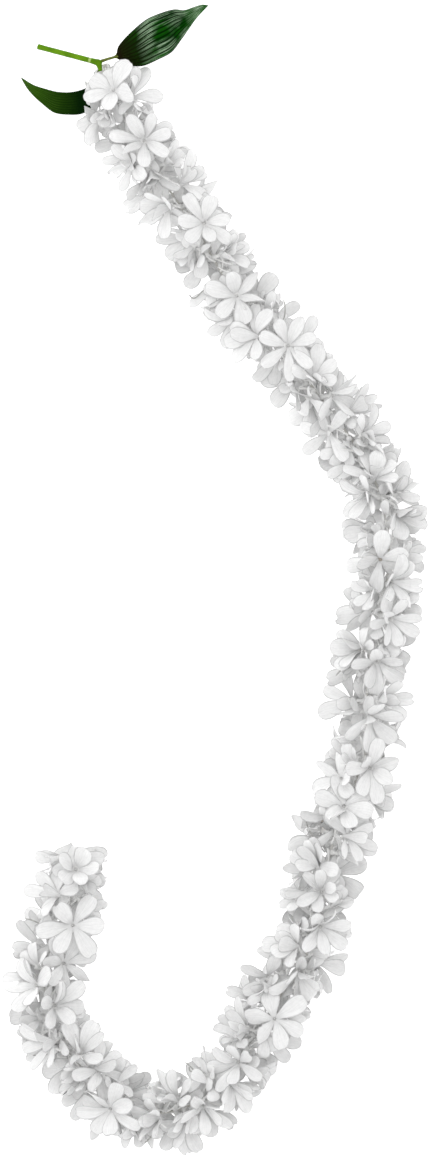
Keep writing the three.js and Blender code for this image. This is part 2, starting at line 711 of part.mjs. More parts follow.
const lei = new THREE.Group();
lei.add(meshFrom(string, 'string', stringFinish));
lei.add(meshFrom(tie, 'sprig_tie', stringFinish));
lei.add(meshFrom(stem, 'sprig_stem', stemFinish));
lei.add(meshFrom(upperLeaf, 'leaf_upper', leafFinish));
lei.add(meshFrom(lowerLeaf, 'leaf_lower', leafFinish));
pairs.forEach((pair, index) => {
  const name = `bloom_pair_${String(index + 1).padStart(2, '0')}`;
  lei.add(meshFrom(buildPair(pair, chosen[index]), name, petalFinish));
});

// The middle of the lei's outline stands over the origin
const outline = new THREE.Box3().setFromObject(lei);
const centre = outline.getCenter(new THREE.Vector3());
for (const mesh of lei.children) {
  mesh.geometry.translate(-centre.x, -centre.y, 0);
}

export default lei;
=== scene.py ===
import math
import random

import bmesh
import bpy
import numpy as np
from mathutils.bvhtree import BVHTree
from mathutils.kdtree import KDTree
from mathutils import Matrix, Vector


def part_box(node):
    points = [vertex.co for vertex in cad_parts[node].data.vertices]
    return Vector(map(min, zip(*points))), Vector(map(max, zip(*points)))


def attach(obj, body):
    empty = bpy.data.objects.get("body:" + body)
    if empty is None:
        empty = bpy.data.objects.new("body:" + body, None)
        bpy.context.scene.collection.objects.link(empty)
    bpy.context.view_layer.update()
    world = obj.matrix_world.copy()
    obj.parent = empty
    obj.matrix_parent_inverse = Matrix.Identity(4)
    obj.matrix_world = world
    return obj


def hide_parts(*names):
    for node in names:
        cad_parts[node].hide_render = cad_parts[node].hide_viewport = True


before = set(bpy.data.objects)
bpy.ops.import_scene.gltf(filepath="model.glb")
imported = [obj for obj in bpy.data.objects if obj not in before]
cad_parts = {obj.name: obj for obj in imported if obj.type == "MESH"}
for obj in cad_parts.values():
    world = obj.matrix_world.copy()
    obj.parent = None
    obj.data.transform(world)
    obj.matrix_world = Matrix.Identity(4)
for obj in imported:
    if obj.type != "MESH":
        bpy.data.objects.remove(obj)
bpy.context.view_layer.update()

# The view. The lei lies on a table and is seen from straight above, the top of the page
# towards +Y, through a long lens, so that blooms near the ends aren't seen from the side.
MM = 0.001
MM_PER_PX = 0.65
PAGE_PX = (440, 1162)
LEAF_TIP_PX = (208, 5)
SENSOR_MM = 36
EYE_HEIGHT = 10.0
EYE_SIGHT = 4 * EYE_HEIGHT
BLOOM_HEIGHT = 0.022

leaf_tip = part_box("leaf_upper")[1]


def at_pixel(x, y, height):
    """The place of a pixel of the page at a height over the table, in millimetres."""
    right = leaf_tip.x / MM + (x - LEAF_TIP_PX[0]) * MM_PER_PX
    up = leaf_tip.y / MM + (LEAF_TIP_PX[1] - y) * MM_PER_PX
    return np.array([right, up, height], float)


def placed(name, data):
    """A new object in the scene that holds a mesh, a curve, a camera or a light."""
    made = bpy.data.objects.new(name, data)
    bpy.context.scene.collection.objects.link(made)
    return made


page_middle = at_pixel(PAGE_PX[0] / 2, PAGE_PX[1] / 2, 0) * MM
page_height = PAGE_PX[1] * MM_PER_PX * MM
eye = placed("eye", bpy.data.cameras.new("eye"))
eye.location = (page_middle[0], page_middle[1], EYE_HEIGHT)
eye.data.sensor_width = SENSOR_MM
eye.data.lens = SENSOR_MM * (EYE_HEIGHT - BLOOM_HEIGHT) / page_height
eye.data.clip_end = EYE_SIGHT
bpy.context.scene.camera = eye
bpy.context.scene.view_settings.view_transform = "Standard"


# The string. A white cotton thread of three twisted plies that every bloom is threaded on,
# with a round knot at each end. It runs at one height through the middle of the blooms.
STRING_HEIGHT = 21.5
STRING_RADIUS = 0.9
PLY_DEPTH = 0.16
PLY_PITCH = 5.2
STRING_STEP = 0.8
STRING_ROUTE_PX = [
    (104.8, 66), (110, 88), (124, 119), (146, 156), (172, 194), (197, 231), (220, 270), (245, 311),
    (276, 342), (304, 376), (331, 412), (357, 448), (378, 488), (388, 531), (388, 576), (380, 620),
    (369, 662), (367, 707), (366, 750), (350, 795), (335, 837), (322, 884), (319, 915), (305, 957),
    (281, 995), (257, 1034), (232, 1073), (198, 1102), (153, 1113), (110, 1097), (77, 1063),
    (52, 1024), (45, 984), (56, 945), (66, 908), (73, 874), (77, 852),
]
PAIR_COUNT = 52
ROUTE_DIVISIONS = 200
PLY_CORNERS = 12
KNOT_REACH = 0.72
KNOT_ROUND = 0.62
KNOT_DEPTH = 1.3
KNOT_THREAD = 0.5
KNOT_STEPS = 72
ROUND_CREASE = 50
UP = np.array([0.0, 0.0, 1.0])

route = [at_pixel(x, y, STRING_HEIGHT) for x, y in STRING_ROUTE_PX]


def smooth_through(points, share):
    """A point of the smooth curve through points, by share of its points."""
    place = (len(points) - 1) * share
    number = min(int(place), len(points) - 2)
    weight = place - number
    start, end = points[number], points[number + 1]
    before = points[number - 1] if number > 0 else 2 * start - end
    after = points[number + 2] if number + 2 < len(points) else 2 * end - start
    out, back = 0.5 * (end - before), 0.5 * (after - start)
    return (
        start + out * weight
        + (3 * (end - start) - 2 * out - back) * weight ** 2
        + (2 * (start - end) + out + back) * weight ** 3
    )


shares = np.linspace(0, 1, ROUTE_DIVISIONS + 1)
chords = np.array([smooth_through(route, share) for share in shares])
lengths = np.concatenate([[0], np.cumsum(np.linalg.norm(np.diff(chords, axis=0), axis=1))])


def route_at(distance):
    """The point of the string's curve at a distance from its start."""
    return smooth_through(route, float(np.interp(distance, lengths, shares)))


string_corners = [route_at(lengths[-1] * number / PAIR_COUNT) for number in range(PAIR_COUNT + 1)]


def unit(vector):
    """A vector made one unit long."""
    return vector / np.linalg.norm(vector)


def square_to(vector, axis):
    """The part of a vector that stands square to an axis, one unit long."""
    return unit(vector - axis * np.dot(vector, axis))


def pick(*pieces):
    """Selects these pieces alone, the first of them active."""
    bpy.ops.object.select_all(action="DESELECT")
    for piece in pieces:
        piece.select_set(True)
    bpy.context.view_layer.objects.active = pieces[0]


def laid_line(name, path, radius, sides=8, tilts=None, radii=None, ply=None):
    """A round bar along a path in millimetres, drawn as a bevelled curve and made a mesh.
    radii swell it along its way, and a ply is a curve for a section that isn't round."""
    line = bpy.data.curves.new(name, "CURVE")
    line.dimensions = "3D"
    line.use_fill_caps = True
    if ply:
        line.bevel_mode = "OBJECT"
        line.bevel_object = ply
    else:
        line.bevel_depth = radius * MM
        line.bevel_resolution = max(sides // 2 - 2, 0)
    spline = line.splines.new("POLY")
    spline.points.add(len(path) - 1)
    for number, (point, place) in enumerate(zip(spline.points, path)):
        point.co = (*(np.asarray(place, float) * MM), 1)
        if radii is not None:
            point.radius = radii[number]
        if tilts is not None:
            point.tilt = tilts[number]
    pick(placed(name, line))
    bpy.ops.object.convert(target="MESH")
    bpy.ops.object.shade_smooth_by_angle(angle=math.radians(ROUND_CREASE))
    return bpy.context.object


def joined(name, parts):
    """Parts of one piece made one mesh."""
    pick(*parts)
    if len(parts) > 1:
        bpy.ops.object.join()
    piece = bpy.context.object
    piece.name = name
    piece.data.name = name
    return piece


def trefoil_knot(middle, first, second, third):
    """The path of a tight round knot about a point."""
    path = []
    for step in range(KNOT_STEPS + 1):
        turn = 2 * math.pi * step / KNOT_STEPS
        path.append(
            middle
            + first * KNOT_REACH * (math.sin(turn) + 2 * math.sin(2 * turn)) * KNOT_ROUND
            + second * KNOT_REACH * (math.cos(turn) - 2 * math.cos(2 * turn)) * KNOT_ROUND
            - third * KNOT_REACH * KNOT_DEPTH * math.sin(3 * turn)
        )
    return path


def finish_nodes(name):
    """A new material with its node tree, its shader and its texture coordinates."""
    finish = bpy.data.materials.new(name)
    finish.use_nodes = True
    tree = finish.node_tree
    return finish, tree, tree.nodes["Principled BSDF"], tree.nodes.new("ShaderNodeTexCoord").outputs


def node(tree, kind, **settings):
    """A node with its settings, and its inputs by name where a setting is an input."""
    made = tree.nodes.new(kind)
    for setting, value in settings.items():
        if setting in made.inputs:
            made.inputs[setting].default_value = value
        else:
            setattr(made, setting, value)
    return made


def noise(tree, place, scale, detail, roughness=0.5):
    """The grey of a noise over coordinates."""
    made = node(tree, "ShaderNodeTexNoise", Scale=scale, Detail=detail, Roughness=roughness)
    tree.links.new(place, made.inputs["Vector"])
    return made.outputs["Fac"]


def ramp(tree, source, stops):
    """A colour ramp fed by a socket; each stop is a place and a grey or a colour."""
    made = tree.nodes.new("ShaderNodeValToRGB")
    for number, (place, colour) in enumerate(stops):
        if number < 2:
            stop = made.color_ramp.elements[number]
            stop.position = place
        else:
            stop = made.color_ramp.elements.new(place)
        tone = colour if isinstance(colour, tuple) else (colour,) * 3
        stop.color = (*tone, 1)
    tree.links.new(source, made.inputs["Fac"])
    return made.outputs["Color"]


def blend_of(tree, way, amount, first, second):
    """Two colours mixed; each is a socket or a colour, and so is the amount or a number."""
    made = tree.nodes.new("ShaderNodeMix")
    made.data_type = "RGBA"
    made.blend_type = way
    for number, value in ((0, amount), (6, first), (7, second)):
        if isinstance(value, bpy.types.NodeSocket):
            tree.links.new(value, made.inputs[number])
        else:
            made.inputs[number].default_value = (*value, 1) if isinstance(value, tuple) else value
    return made.outputs[2]


def multiplied(tree, colour, *others, amount=1.0):
    """A colour multiplied by others, one after another."""
    for other in others:
        colour = blend_of(tree, "MULTIPLY", amount, colour, other)
    return colour


def bumped(tree, shader, height, strength, distance, under=None):
    """A bump from a height socket, in millimetres, over another bump where one is given."""
    bump = node(tree, "ShaderNodeBump", Strength=strength, Distance=distance * MM)
    tree.links.new(height, bump.inputs["Height"])
    if under is not None:
        tree.links.new(under, bump.inputs["Normal"])
    tree.links.new(bump.outputs["Normal"], shader.inputs["Normal"])
    return bump.outputs["Normal"]


def dyed(tree, shader, colour, roughness, specular=0.5, sheen=0.0):
    """Links a shader's colour and sets the values that are the same all over."""
    tree.links.new(colour, shader.inputs["Base Color"])
    shader.inputs["Roughness"].default_value = roughness
    shader.inputs["Specular IOR Level"].default_value = specular
    shader.inputs["Sheen Weight"].default_value = sheen


def clad(piece, *skins):
    """Gives a piece its finishes in place of any it has."""
    piece.data.materials.clear()
    for skin in skins:
        piece.data.materials.append(skin)


cotton, tree, shader, place = finish_nodes("cotton_thread")
fuzz = noise(tree, place["Object"], 2400, 5, 0.6)
worn = noise(tree, place["Object"], 90, 3)
dye = ramp(tree, worn, [(0.3, (0.55, 0.54, 0.50)), (0.75, (0.74, 0.73, 0.70))])
fibre = ramp(tree, fuzz, [(0.35, 0.8), (0.65, 1.0)])
dyed(tree, shader, multiplied(tree, dye, fibre), 0.85, sheen=0.2)
bumped(tree, shader, fuzz, 0.6, 0.12)

section = bpy.data.curves.new("three_plies", "CURVE")
section.dimensions = "2D"
outline = section.splines.new("POLY")
outline.points.add(PLY_CORNERS - 1)
outline.use_cyclic_u = True
for number, point in enumerate(outline.points):
    turn = 2 * math.pi * number / PLY_CORNERS
    spread = (STRING_RADIUS - PLY_DEPTH + PLY_DEPTH * math.cos(3 * turn)) * MM
    point.co = (spread * math.cos(turn), spread * math.sin(turn), 0, 1)
plies = placed("three_plies", section)

steps = np.arange(0, lengths[-1], STRING_STEP)
string_path = [route_at(distance) for distance in steps]
twists = steps * 2 * math.pi / PLY_PITCH
string_parts = [laid_line("thread", string_path, STRING_RADIUS, tilts=twists, ply=plies)]
for corner, beside in (string_corners[:2], string_corners[:-3:-1]):
    ahead = unit(beside - corner)
    aside = square_to(UP, ahead)
    knot_path = trefoil_knot(corner, aside, np.cross(ahead, aside), ahead)
    string_parts.append(laid_line("knot", knot_path, KNOT_THREAD))
bpy.data.objects.remove(plies)
string = joined("string_twisted", string_parts)
clad(string, cotton)
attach(string, "root")
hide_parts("string")


# The tie. The same thread wound tight round the sprig's stub and the start of the string,
# which holds the green sprig to the lei. Its turns lie side by side.
STUB_STAND_OFF = 3.4
STUB_RADIUS = 1.2
TIE_START = 2.3
TIE_LENGTH = 2.7
TIE_THREAD = 0.37
TIE_SLACK = 0.35
TIE_TURNS = 4
TIE_STEPS = 40

first_tangent = unit(string_corners[1] - string_corners[0])
first_side = np.cross(UP, first_tangent)
stub_axis = string_corners[0] - first_side * STUB_STAND_OFF
tie_middle = string_corners[0] - first_side * STUB_STAND_OFF / 2
tie_reach = STUB_RADIUS + TIE_SLACK + TIE_THREAD


def around_tie(share):
    """A point of the long loop round the two bars, by share of its way round."""
    straight = STUB_STAND_OFF
    bend = math.pi * tie_reach
    distance = (share % 1) * 2 * (straight + bend)
    for sign in (1, -1):
        if distance <= bend:
            turn = distance / tie_reach - math.pi / 2
            return (
                first_side * sign * (straight / 2 + tie_reach * math.cos(turn))
                + UP * sign * tie_reach * math.sin(turn)
            )
        distance -= bend
        if distance <= straight:
            return first_side * sign * (straight / 2 - distance) + UP * sign * tie_reach
        distance -= straight
    return first_side * straight / 2 - UP * tie_reach


tie_path = []
for step in range(TIE_TURNS * TIE_STEPS + 1):
    share = step / TIE_STEPS
    ahead = TIE_START + TIE_THREAD + (TIE_LENGTH - 2 * TIE_THREAD) * share / TIE_TURNS
    tie_path.append(tie_middle + first_tangent * ahead + around_tie(share))
tie = joined("sprig_tie_wound", [laid_line("tie", tie_path, TIE_THREAD)])
clad(tie, cotton)
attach(tie, "root")
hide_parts("sprig_tie")


# The sprig's stem. A cut green stalk that thickens to a node, where the leaf stalks leave
# and a short stub turns down to the tie. A paler ring and a dark bud scar mark the node.
STEM_RADIUS = 1.55
STEM_CUT_PX = (38, 46)
STEM_CUT_HEIGHT = 9
STEM_BOW = 1.5
STEM_STEPS = 26
STEM_SIDES = 14
STEM_FULLNESS = 1.14
CUT_LIP = (0.06, 0.03)
RING_AT = 0.86
RING_LIP = (0.12, 0.015)
RING_HALF = 0.02
FLARE_FROM = 0.86
FLARE_OVER = 0.14
FLARE_SIZE = 0.34
FLARE_POWER = 1.6
RIPPLE_SIZE = 0.02
RIPPLE_RATE = 29
STEM_NODE_RADIUS = 2.25
STEM_NODE_STRETCH = (1.12, 0.92, 0.86)
STEM_NODE_BEFORE = 3.2
STUB_FROM = -0.12
STUB_END = 5.6
STUB_STEPS = 12
STUB_FLARE = (0.85, 0.4)
STUB_TAPER = 0.12
SCAR_RADIUS = 0.75
SCAR_STRETCH = (1.5, 0.8, 0.5)
SCAR_AT = 0.95
SCAR_OFFSET = (0.3, 0.6, 1.55)
STEM_TURN = 14
STEM_STREAKS = (60, 900, 900)

cut_end = at_pixel(*STEM_CUT_PX, STEM_CUT_HEIGHT)
stem_node = stub_axis - first_tangent * STEM_NODE_BEFORE
bow = (cut_end + stem_node) / 2 + UP * STEM_BOW


def bowed(share):
    """A point of the slightly bowed stalk, by share of its way from the cut to the node."""
    return cut_end * (1 - share) ** 2 + bow * 2 * share * (1 - share) + stem_node * share ** 2


def lump(share, size, width, middle=0.0):
    """How much a soft lump swells a stalk at a share of its way."""
    return size * math.exp(-((share - middle) / width) ** 2)


def pressed_ball(radius, middle, stretch, segments, rings):
    """A ball at a point, stretched along each axis."""
    bpy.ops.object.select_all(action="DESELECT")
    bpy.ops.mesh.primitive_uv_sphere_add(
        segments=segments, ring_count=rings, radius=radius * MM, location=middle * MM,
    )
    bpy.ops.object.mode_set(mode="EDIT")
    bpy.ops.mesh.select_all(action="SELECT")
    bpy.ops.transform.resize(value=stretch)
    bpy.ops.object.mode_set(mode="OBJECT")
    bpy.ops.object.transform_apply(location=True, rotation=True, scale=True)
    bpy.ops.object.shade_smooth()
    return bpy.context.object


def stretched(tree, place, factors):
    """Coordinates multiplied by a factor along each axis."""
    made = node(tree, "ShaderNodeVectorMath", operation="MULTIPLY")
    made.inputs[1].default_value = factors
    tree.links.new(place, made.inputs[0])
    return made.outputs["Vector"]


def grained_skin(name, scale, low, high, roughness, bump, specular=0.5):
    """A finish of two tones over one grain; each tone is a stop of the ramp between them."""
    skin, tree, shader, place = finish_nodes(name)
    grain = noise(tree, place["Object"], scale, 4)
    dyed(tree, shader, ramp(tree, grain, [low, high]), roughness, specular)
    bumped(tree, shader, grain, *bump)
    return skin


stem_shares = np.linspace(0, 1, STEM_STEPS)
stem_swell = []
for share in stem_shares:
    swell = STEM_FULLNESS + lump(share, *CUT_LIP) + lump(share, *RING_LIP, RING_AT)
    flare = FLARE_SIZE * max(0.0, (share - FLARE_FROM) / FLARE_OVER) ** FLARE_POWER
    stem_swell.append(swell + (flare + RIPPLE_SIZE * math.sin(RIPPLE_RATE * share)))
stem_path = [bowed(share) for share in stem_shares]
stalk = laid_line("stalk", stem_path, STEM_RADIUS, sides=STEM_SIDES, radii=stem_swell)

stub_path, stub_swell = [], []
for share in np.linspace(STUB_FROM, 1, STUB_STEPS):
    stub_path.append(stem_node + first_tangent * (STEM_NODE_BEFORE + STUB_END) * share)
    stub_swell.append(1 + lump(share, *STUB_FLARE) - STUB_TAPER * share)
stub = laid_line("stub", stub_path, STUB_RADIUS, sides=STEM_SIDES, radii=stub_swell)
knuckle = pressed_ball(STEM_NODE_RADIUS, stem_node, STEM_NODE_STRETCH, 20, 12)
scar = pressed_ball(SCAR_RADIUS, bowed(SCAR_AT) + np.array(SCAR_OFFSET), SCAR_STRETCH, 12, 8)

stem_skin, tree, shader, place = finish_nodes("stem_skin")
along_stem = node(tree, "ShaderNodeMapping", Rotation=(0, 0, math.radians(STEM_TURN)))
tree.links.new(place["Object"], along_stem.inputs["Vector"])
strings = noise(tree, stretched(tree, along_stem.outputs["Vector"], STEM_STREAKS), 1, 4, 0.6)
blotch = noise(tree, place["Object"], 160, 3)
green = ramp(tree, blotch, [(0.3, (0.085, 0.22, 0.003)), (0.7, (0.155, 0.335, 0.008))])
streak = ramp(tree, strings, [(0.35, 0.72), (0.62, 1.0)])
dyed(tree, shader, multiplied(tree, green, streak, amount=0.8), 0.42, specular=0.06)
bumped(tree, shader, strings, 0.35, 0.15)
pale_ring = grained_skin(
    "pale_ring", 700, (0.35, (0.24, 0.38, 0.06)), (0.65, (0.42, 0.56, 0.17)), 0.55, (0.4, 0.15),
)
bud_scar = grained_skin(
    "bud_scar", 900, (0.35, (0.025, 0.03, 0.008)), (0.7, (0.07, 0.085, 0.02)), 0.7, (0.6, 0.2),
)

clad(stalk, stem_skin, pale_ring)
clad(stub, stem_skin)
clad(knuckle, stem_skin)
clad(scar, bud_scar)
stem_way = unit(stem_node - cut_end)
stem_length = np.linalg.norm(stem_node - cut_end)
for face in stalk.data.polygons:
    reach = float(np.dot(np.array(face.center) / MM - cut_end, stem_way)) / stem_length
    if abs(reach - RING_AT) < RING_HALF or len(face.vertices) > 4:
        face.material_index = 1
stem = joined("sprig_stem_cut", [stalk, stub, knuckle, scar])
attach(stem, "root")
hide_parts("sprig_stem")


# The leaves. Two glossy dark green blades on short stalks from the node, with nine veins
# side by side from stalk to tip. The upper one arches up, the lower one cups and curls.
LEAF_ROWS = 56
LEAF_COLUMNS = 36
LEAF_RIBS = 9
LEAF_FULL_WIDTH = 16
LEAF_THICKNESS = 0.55
LEAF_CREASE = 55
LEAF_WAVES = 3
LEAF_WAVE_LIMITS = ((3, 9), (0, 6.3), (0.1, 0.3))
LEAF_LINES = (58, 5, 1)
LEAF_OLIVE = (0.10, 0.125, 0.018)
UPPER_LEAF = {
    "rows": [
        ((102.9, 59.4), (102.9, 61.4), 21.5), ((115.5, 55.4), (116, 58), 23),
        ((119, 46), (127, 64.5), 24), ((130, 33.5), (142, 66), 24.5),
        ((146, 20), (158, 59.5), 24), ((161, 13.2), (171.5, 52), 22.6),
        ((174, 9.6), (181, 39.5), 20.6), ((184, 10.2), (189, 28), 18.0),
        ((193, 7.3), (195, 19.5), 17.2), ((201, 4.6), (201, 12.5), 15.8),
        ((208, 4.9), (208, 5.1), 14),
    ],
    "arch": 2.6,
    "rib": 0.55,
    "seed": 3,
    "dark": (0.001, 0.036, 0.001),
    "fresh": (0.012, 0.135, 0.005),
    "valley": (0.0005, 0.014, 0.0003),
    # The pale colour and the strength of the painted highlight streaks
    "painted_glare": (0.50, 0.68, 0.47),
    "glare": 1.0,
    "base": (0.010, 0.008, 0.002),
    "base_ends": (0.18, 0.44),
    "olive_end": 0.10,
}
UPPER_STALK = (
    (101.5, 61, 20.8), (105, 59.9, 21.9), (110, 58.4, 22.9), (116, 56.8, 23.5), (124, 55, 24.6),
)
UPPER_STALK_RADIUS = 0.85
UPPER_STALK_STEPS = 14
UPPER_STALK_TAPER = (1.25, 0.45)
LOWER_LEAF = {
    "rows": [
        ((99.6, 67), (101.6, 67.6), 19.3), ((96, 73), (98.6, 74.6), 17),
        ((92.5, 80), (97, 87), 13.5), ((88, 86), (93, 105), 10), ((80, 89.5), (82, 113), 7.5),
        ((69, 91.5), (68, 114), 6.5), ((57, 91), (54, 112), 6.5), ((45, 88), (43, 104), 7.5),
        ((34, 84.5), (33, 95), 9), ((26, 80), (26, 86.5), 10.5), ((21, 76.9), (21, 77.1), 12),
    ],
    "arch": -1.6,
    "rib": 0.35,
    "seed": 8,
    "dark": (0.028, 0.096, 0.003),
    "fresh": (0.058, 0.155, 0.008),
    "valley": (0.018, 0.070, 0.002),
    # The pale colour and the strength of the painted highlight streaks
    "painted_glare": (0.13, 0.22, 0.06),
    "glare": 0.3,
    "base": (0.002, 0.014, 0.001),
    "base_ends": (0.42, 0.84),
    "olive_end": 0.12,
}


def make_leaf(name, leaf):
    """A blade from a grid: laid between its two edges, arched across and ribbed along, then
    given its thickness. Its own map runs across and along the blade."""
    left = [at_pixel(*row[0], row[2]) for row in leaf["rows"]]
    right = [at_pixel(*row[1], row[2]) for row in leaf["rows"]]
    chance = random.Random(leaf["seed"])
    waves = [[chance.uniform(*limits) for limits in LEAF_WAVE_LIMITS] for _ in range(LEAF_WAVES)]
    bpy.ops.object.select_all(action="DESELECT")
    bpy.ops.mesh.primitive_grid_add(x_subdivisions=LEAF_COLUMNS, y_subdivisions=LEAF_ROWS, size=1)
    blade = bpy.context.object
    for corner in blade.data.vertices:
        across, along = corner.co.x + 0.5, corner.co.y + 0.5
        one = smooth_through(left, along)
        other = smooth_through(right, along)
        fullness = min(1.0, float(np.linalg.norm(other - one)) / LEAF_FULL_WIDTH)
        rib = leaf["rib"] * (0.5 - 0.5 * math.cos(2 * math.pi * LEAF_RIBS * across))
        wave = sum(size * math.sin(rate * along + shift) for rate, shift, size in waves)
        wave *= (2 * across - 1) ** 2
        rise = leaf["arch"] * (1 - (2 * across - 1) ** 2) + rib + wave
        corner.co = (one * (1 - across) + other * across + UP * rise * fullness) * MM
    thick = blade.modifiers.new("thick", "SOLIDIFY")
    thick.thickness = LEAF_THICKNESS * MM
    thick.offset = 0
    bpy.ops.object.modifier_apply(modifier="thick")
    bpy.ops.object.mode_set(mode="EDIT")
    bpy.ops.mesh.select_all(action="SELECT")
    bpy.ops.mesh.normals_make_consistent(inside=False)
    bpy.ops.object.mode_set(mode="OBJECT")
    bpy.ops.object.shade_smooth_by_angle(angle=math.radians(LEAF_CREASE))
    return joined(name, [blade])


def map_ways(tree, place):
    """The two ways of a piece's own map, across it and along it."""
    parts = node(tree, "ShaderNodeSeparateXYZ")
    tree.links.new(place["UV"], parts.inputs["Vector"])
    return parts.outputs["X"], parts.outputs["Y"]


def leaf_skin(name, leaf):
    """A leaf's finish on its own map: blotches, dark valleys between its ribs, fine lines and
    pale streaks of painted highlight along it, a dark base and an olive stalk."""
    skin, tree, shader, place = finish_nodes(name)
    across, along = map_ways(tree, place)
    lines = noise(tree, stretched(tree, place["UV"], LEAF_LINES), 1, 4, 0.65)
    turns = node(tree, "ShaderNodeMath", operation="MULTIPLY")
    turns.inputs[1].default_value = 2 * math.pi * LEAF_RIBS
    tree.links.new(across, turns.inputs[0])
    wave = node(tree, "ShaderNodeMath", operation="COSINE")
    tree.links.new(turns.outputs["Value"], wave.inputs[0])
    valley = ramp(tree, wave.outputs["Value"], [(0.0, 0.0), (0.75, 1.0)])
    crest = ramp(tree, wave.outputs["Value"], [(0.05, 1.0), (0.8, 0.0)])
    blotch = noise(tree, place["Object"], 55, 3)
    patch = ramp(tree, blotch, [(0.36, leaf["dark"]), (0.66, leaf["fresh"])])
    veined = blend_of(tree, "MIX", valley, patch, leaf["valley"])
    lined = multiplied(tree, veined, ramp(tree, lines, [(0.40, 0.62), (0.60, 1.0)]), amount=0.85)

    # Painted highlights: pale streaks in the painted glare colour stand in for the leaf's gloss.
    # They lie on the crests of the ribs, in patches and near the tip.
    glare = leaf["glare"]
    streak = ramp(tree, lines, [(0.45, 0.0), (0.57, 1.0)])
    painted_glare = noise(tree, place["Object"], 70, 2, 0.4)
    glare_patches = ramp(tree, painted_glare, [(0.42, 0.0), (0.56, glare)])
    tip_glare = ramp(tree, along, [
        (0.68, 0.0), (0.75, 0.8 * glare), (0.86, 0.8 * glare), (0.92, 0.1 * glare),
    ])
    glare_mask = blend_of(tree, "LIGHTEN", 1.0, glare_patches, tip_glare)
    glare_along = ramp(tree, along, [
        (0.30, 0.0), (0.40, 0.9), (0.52, 0.35), (0.64, 0.5), (0.76, 0.25), (0.85, 1.0),
    ])
    shine = multiplied(tree, streak, glare_mask, glare_along, crest)
    lit = blend_of(tree, "MIX", shine, lined, leaf["painted_glare"])

    base_low, base_high = leaf["base_ends"]
    base = ramp(tree, along, [(base_low, 0.0), (base_high, 1.0)])
    based = blend_of(tree, "MIX", base, leaf["base"], lit)
    olive = ramp(tree, along, [(leaf["olive_end"], 1.0), (leaf["olive_end"] + 0.03, 0.0)])
    gloss = ramp(tree, lines, [(0.3, 0.42), (0.7, 0.20)])
    tree.links.new(blend_of(tree, "MIX", olive, based, LEAF_OLIVE), shader.inputs["Base Color"])
    tree.links.new(gloss, shader.inputs["Roughness"])
    shader.inputs["Specular IOR Level"].default_value = 0.01
    bumped(tree, shader, lines, 0.55, 0.35)
    return skin


upper_blade = make_leaf("leaf_upper_blade", UPPER_LEAF)
clad(upper_blade, leaf_skin("leaf_upper_skin", UPPER_LEAF))
stalk_corners = [at_pixel(*corner) for corner in UPPER_STALK]
stalk_shares = np.linspace(0, 1, UPPER_STALK_STEPS)
stalk_path = [smooth_through(stalk_corners, share) for share in stalk_shares]
stalk_swell = UPPER_STALK_TAPER[0] - UPPER_STALK_TAPER[1] * stalk_shares
leaf_stalk = laid_line("leaf_stalk", stalk_path, UPPER_STALK_RADIUS, sides=10, radii=stalk_swell)
clad(leaf_stalk, grained_skin(
    "leaf_stalk_skin", 600, (0.35, (0.085, 0.11, 0.015)), (0.65, (0.17, 0.20, 0.045)),
    0.5, (0.4, 0.15), specular=0.06,
))
upper_leaf = joined("leaf_upper_blade", [upper_blade, leaf_stalk])
lower_leaf = make_leaf("leaf_lower_blade", LOWER_LEAF)
clad(lower_leaf, leaf_skin("leaf_lower_skin", LOWER_LEAF))
for blade, leaf_node in ((upper_leaf, "leaf_upper"), (lower_leaf, "leaf_lower")):
    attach(blade, "root")
    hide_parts(leaf_node)


# The blooms. White waxy flowers threaded back to back in pairs, one facing up and one down:
# a slim tube that opens into six or seven spoon-shaped petals. Each pair is one piece, and
# its petals stand where the same bloom's petals stand in the plain solids.
UPPER_BLOOMS = [
    (113, 90, -0.4, 0.6), (132, 96, 0.7, 0.7), (143, 140, 0, 0), (152, 172, 0.1, -0.9),
    (186, 183, 0.9, 0.6), (167, 206, -1, -0.3), (204, 224, 0, 0), (224, 254, 0.9, 0.4),
    (236, 295, 0.2, 0.2), (234, 318, -0.6, -0.6), (254, 336, -1, -0.2), (288, 346, 0, 0),
    (314, 378, 0.1, 0.2), (333, 396, 1.2, 0), (327, 436, 0, 0), (364, 434, 1, 0.2),
    (373, 477, 0.2, 1.1), (367, 494, -0.9, -0.5), (397, 514, 0.9, -0.3), (380, 560, -0.2, -0.4),
    (391, 582, 0.6, -0.3), (391, 620, 0.5, -0.4), (361, 648, -1.1, 0), (378, 662, 0.1, -0.6),
    (381, 701, 1.1, 0.1), (370, 718, 0.2, -0.9), (370, 768, 0.2, -0.2), (340, 778, -0.9, 0.3),
    (344, 806, 0, 0), (347, 836, 0.8, -0.2), (317, 864, -0.7, 0), (322, 890, 0, 0.1),
    (320, 927, 0.3, -0.6), (295, 945, -0.9, 0.2), (299, 974, 0.5, -0.7), (275, 1020, 0, 0),
    (245, 1028, -0.8, 0.2), (238, 1062, -0.6, -0.3), (233, 1083, 0.7, -0.7), (204, 1107, 0.1, -0.9),
    (177, 1099, -0.6, 0.6), (157, 1117, -0.6, -0.3), (111, 1108, -0.3, -0.3), (98, 1071, 0.8, 0.3),
    (80, 1052, 0.3, 0.8), (53, 1041, -1, -0.2), (56, 1005, 0.3, 0), (36, 985, -0.9, 0.1),
    (64, 963, 0.2, -0.1), (72, 925, 0, 0), (58, 894, -0.9, 0.1), (76, 869, 0, 0.3),
]
HEAD_REACH = 11.8
HEAD_REACH_JITTER = 1.5
FLAT_OPENING = 16
OPENING = 36
OPENING_JITTER = 14
FACING_JITTER = 22
UPPER_FREEDOM = 0.35
LOWER_FREEDOM = 0.7
UPPER_SEVENS = 0.6
LOWER_SEVENS = 0.3
END_LEAN = 0.7
THROAT_RADIUS = 2.2
PETAL_LENGTH = 21.3
PETAL_LENGTH_JITTER = 1.5
PETAL_ROOM = 75
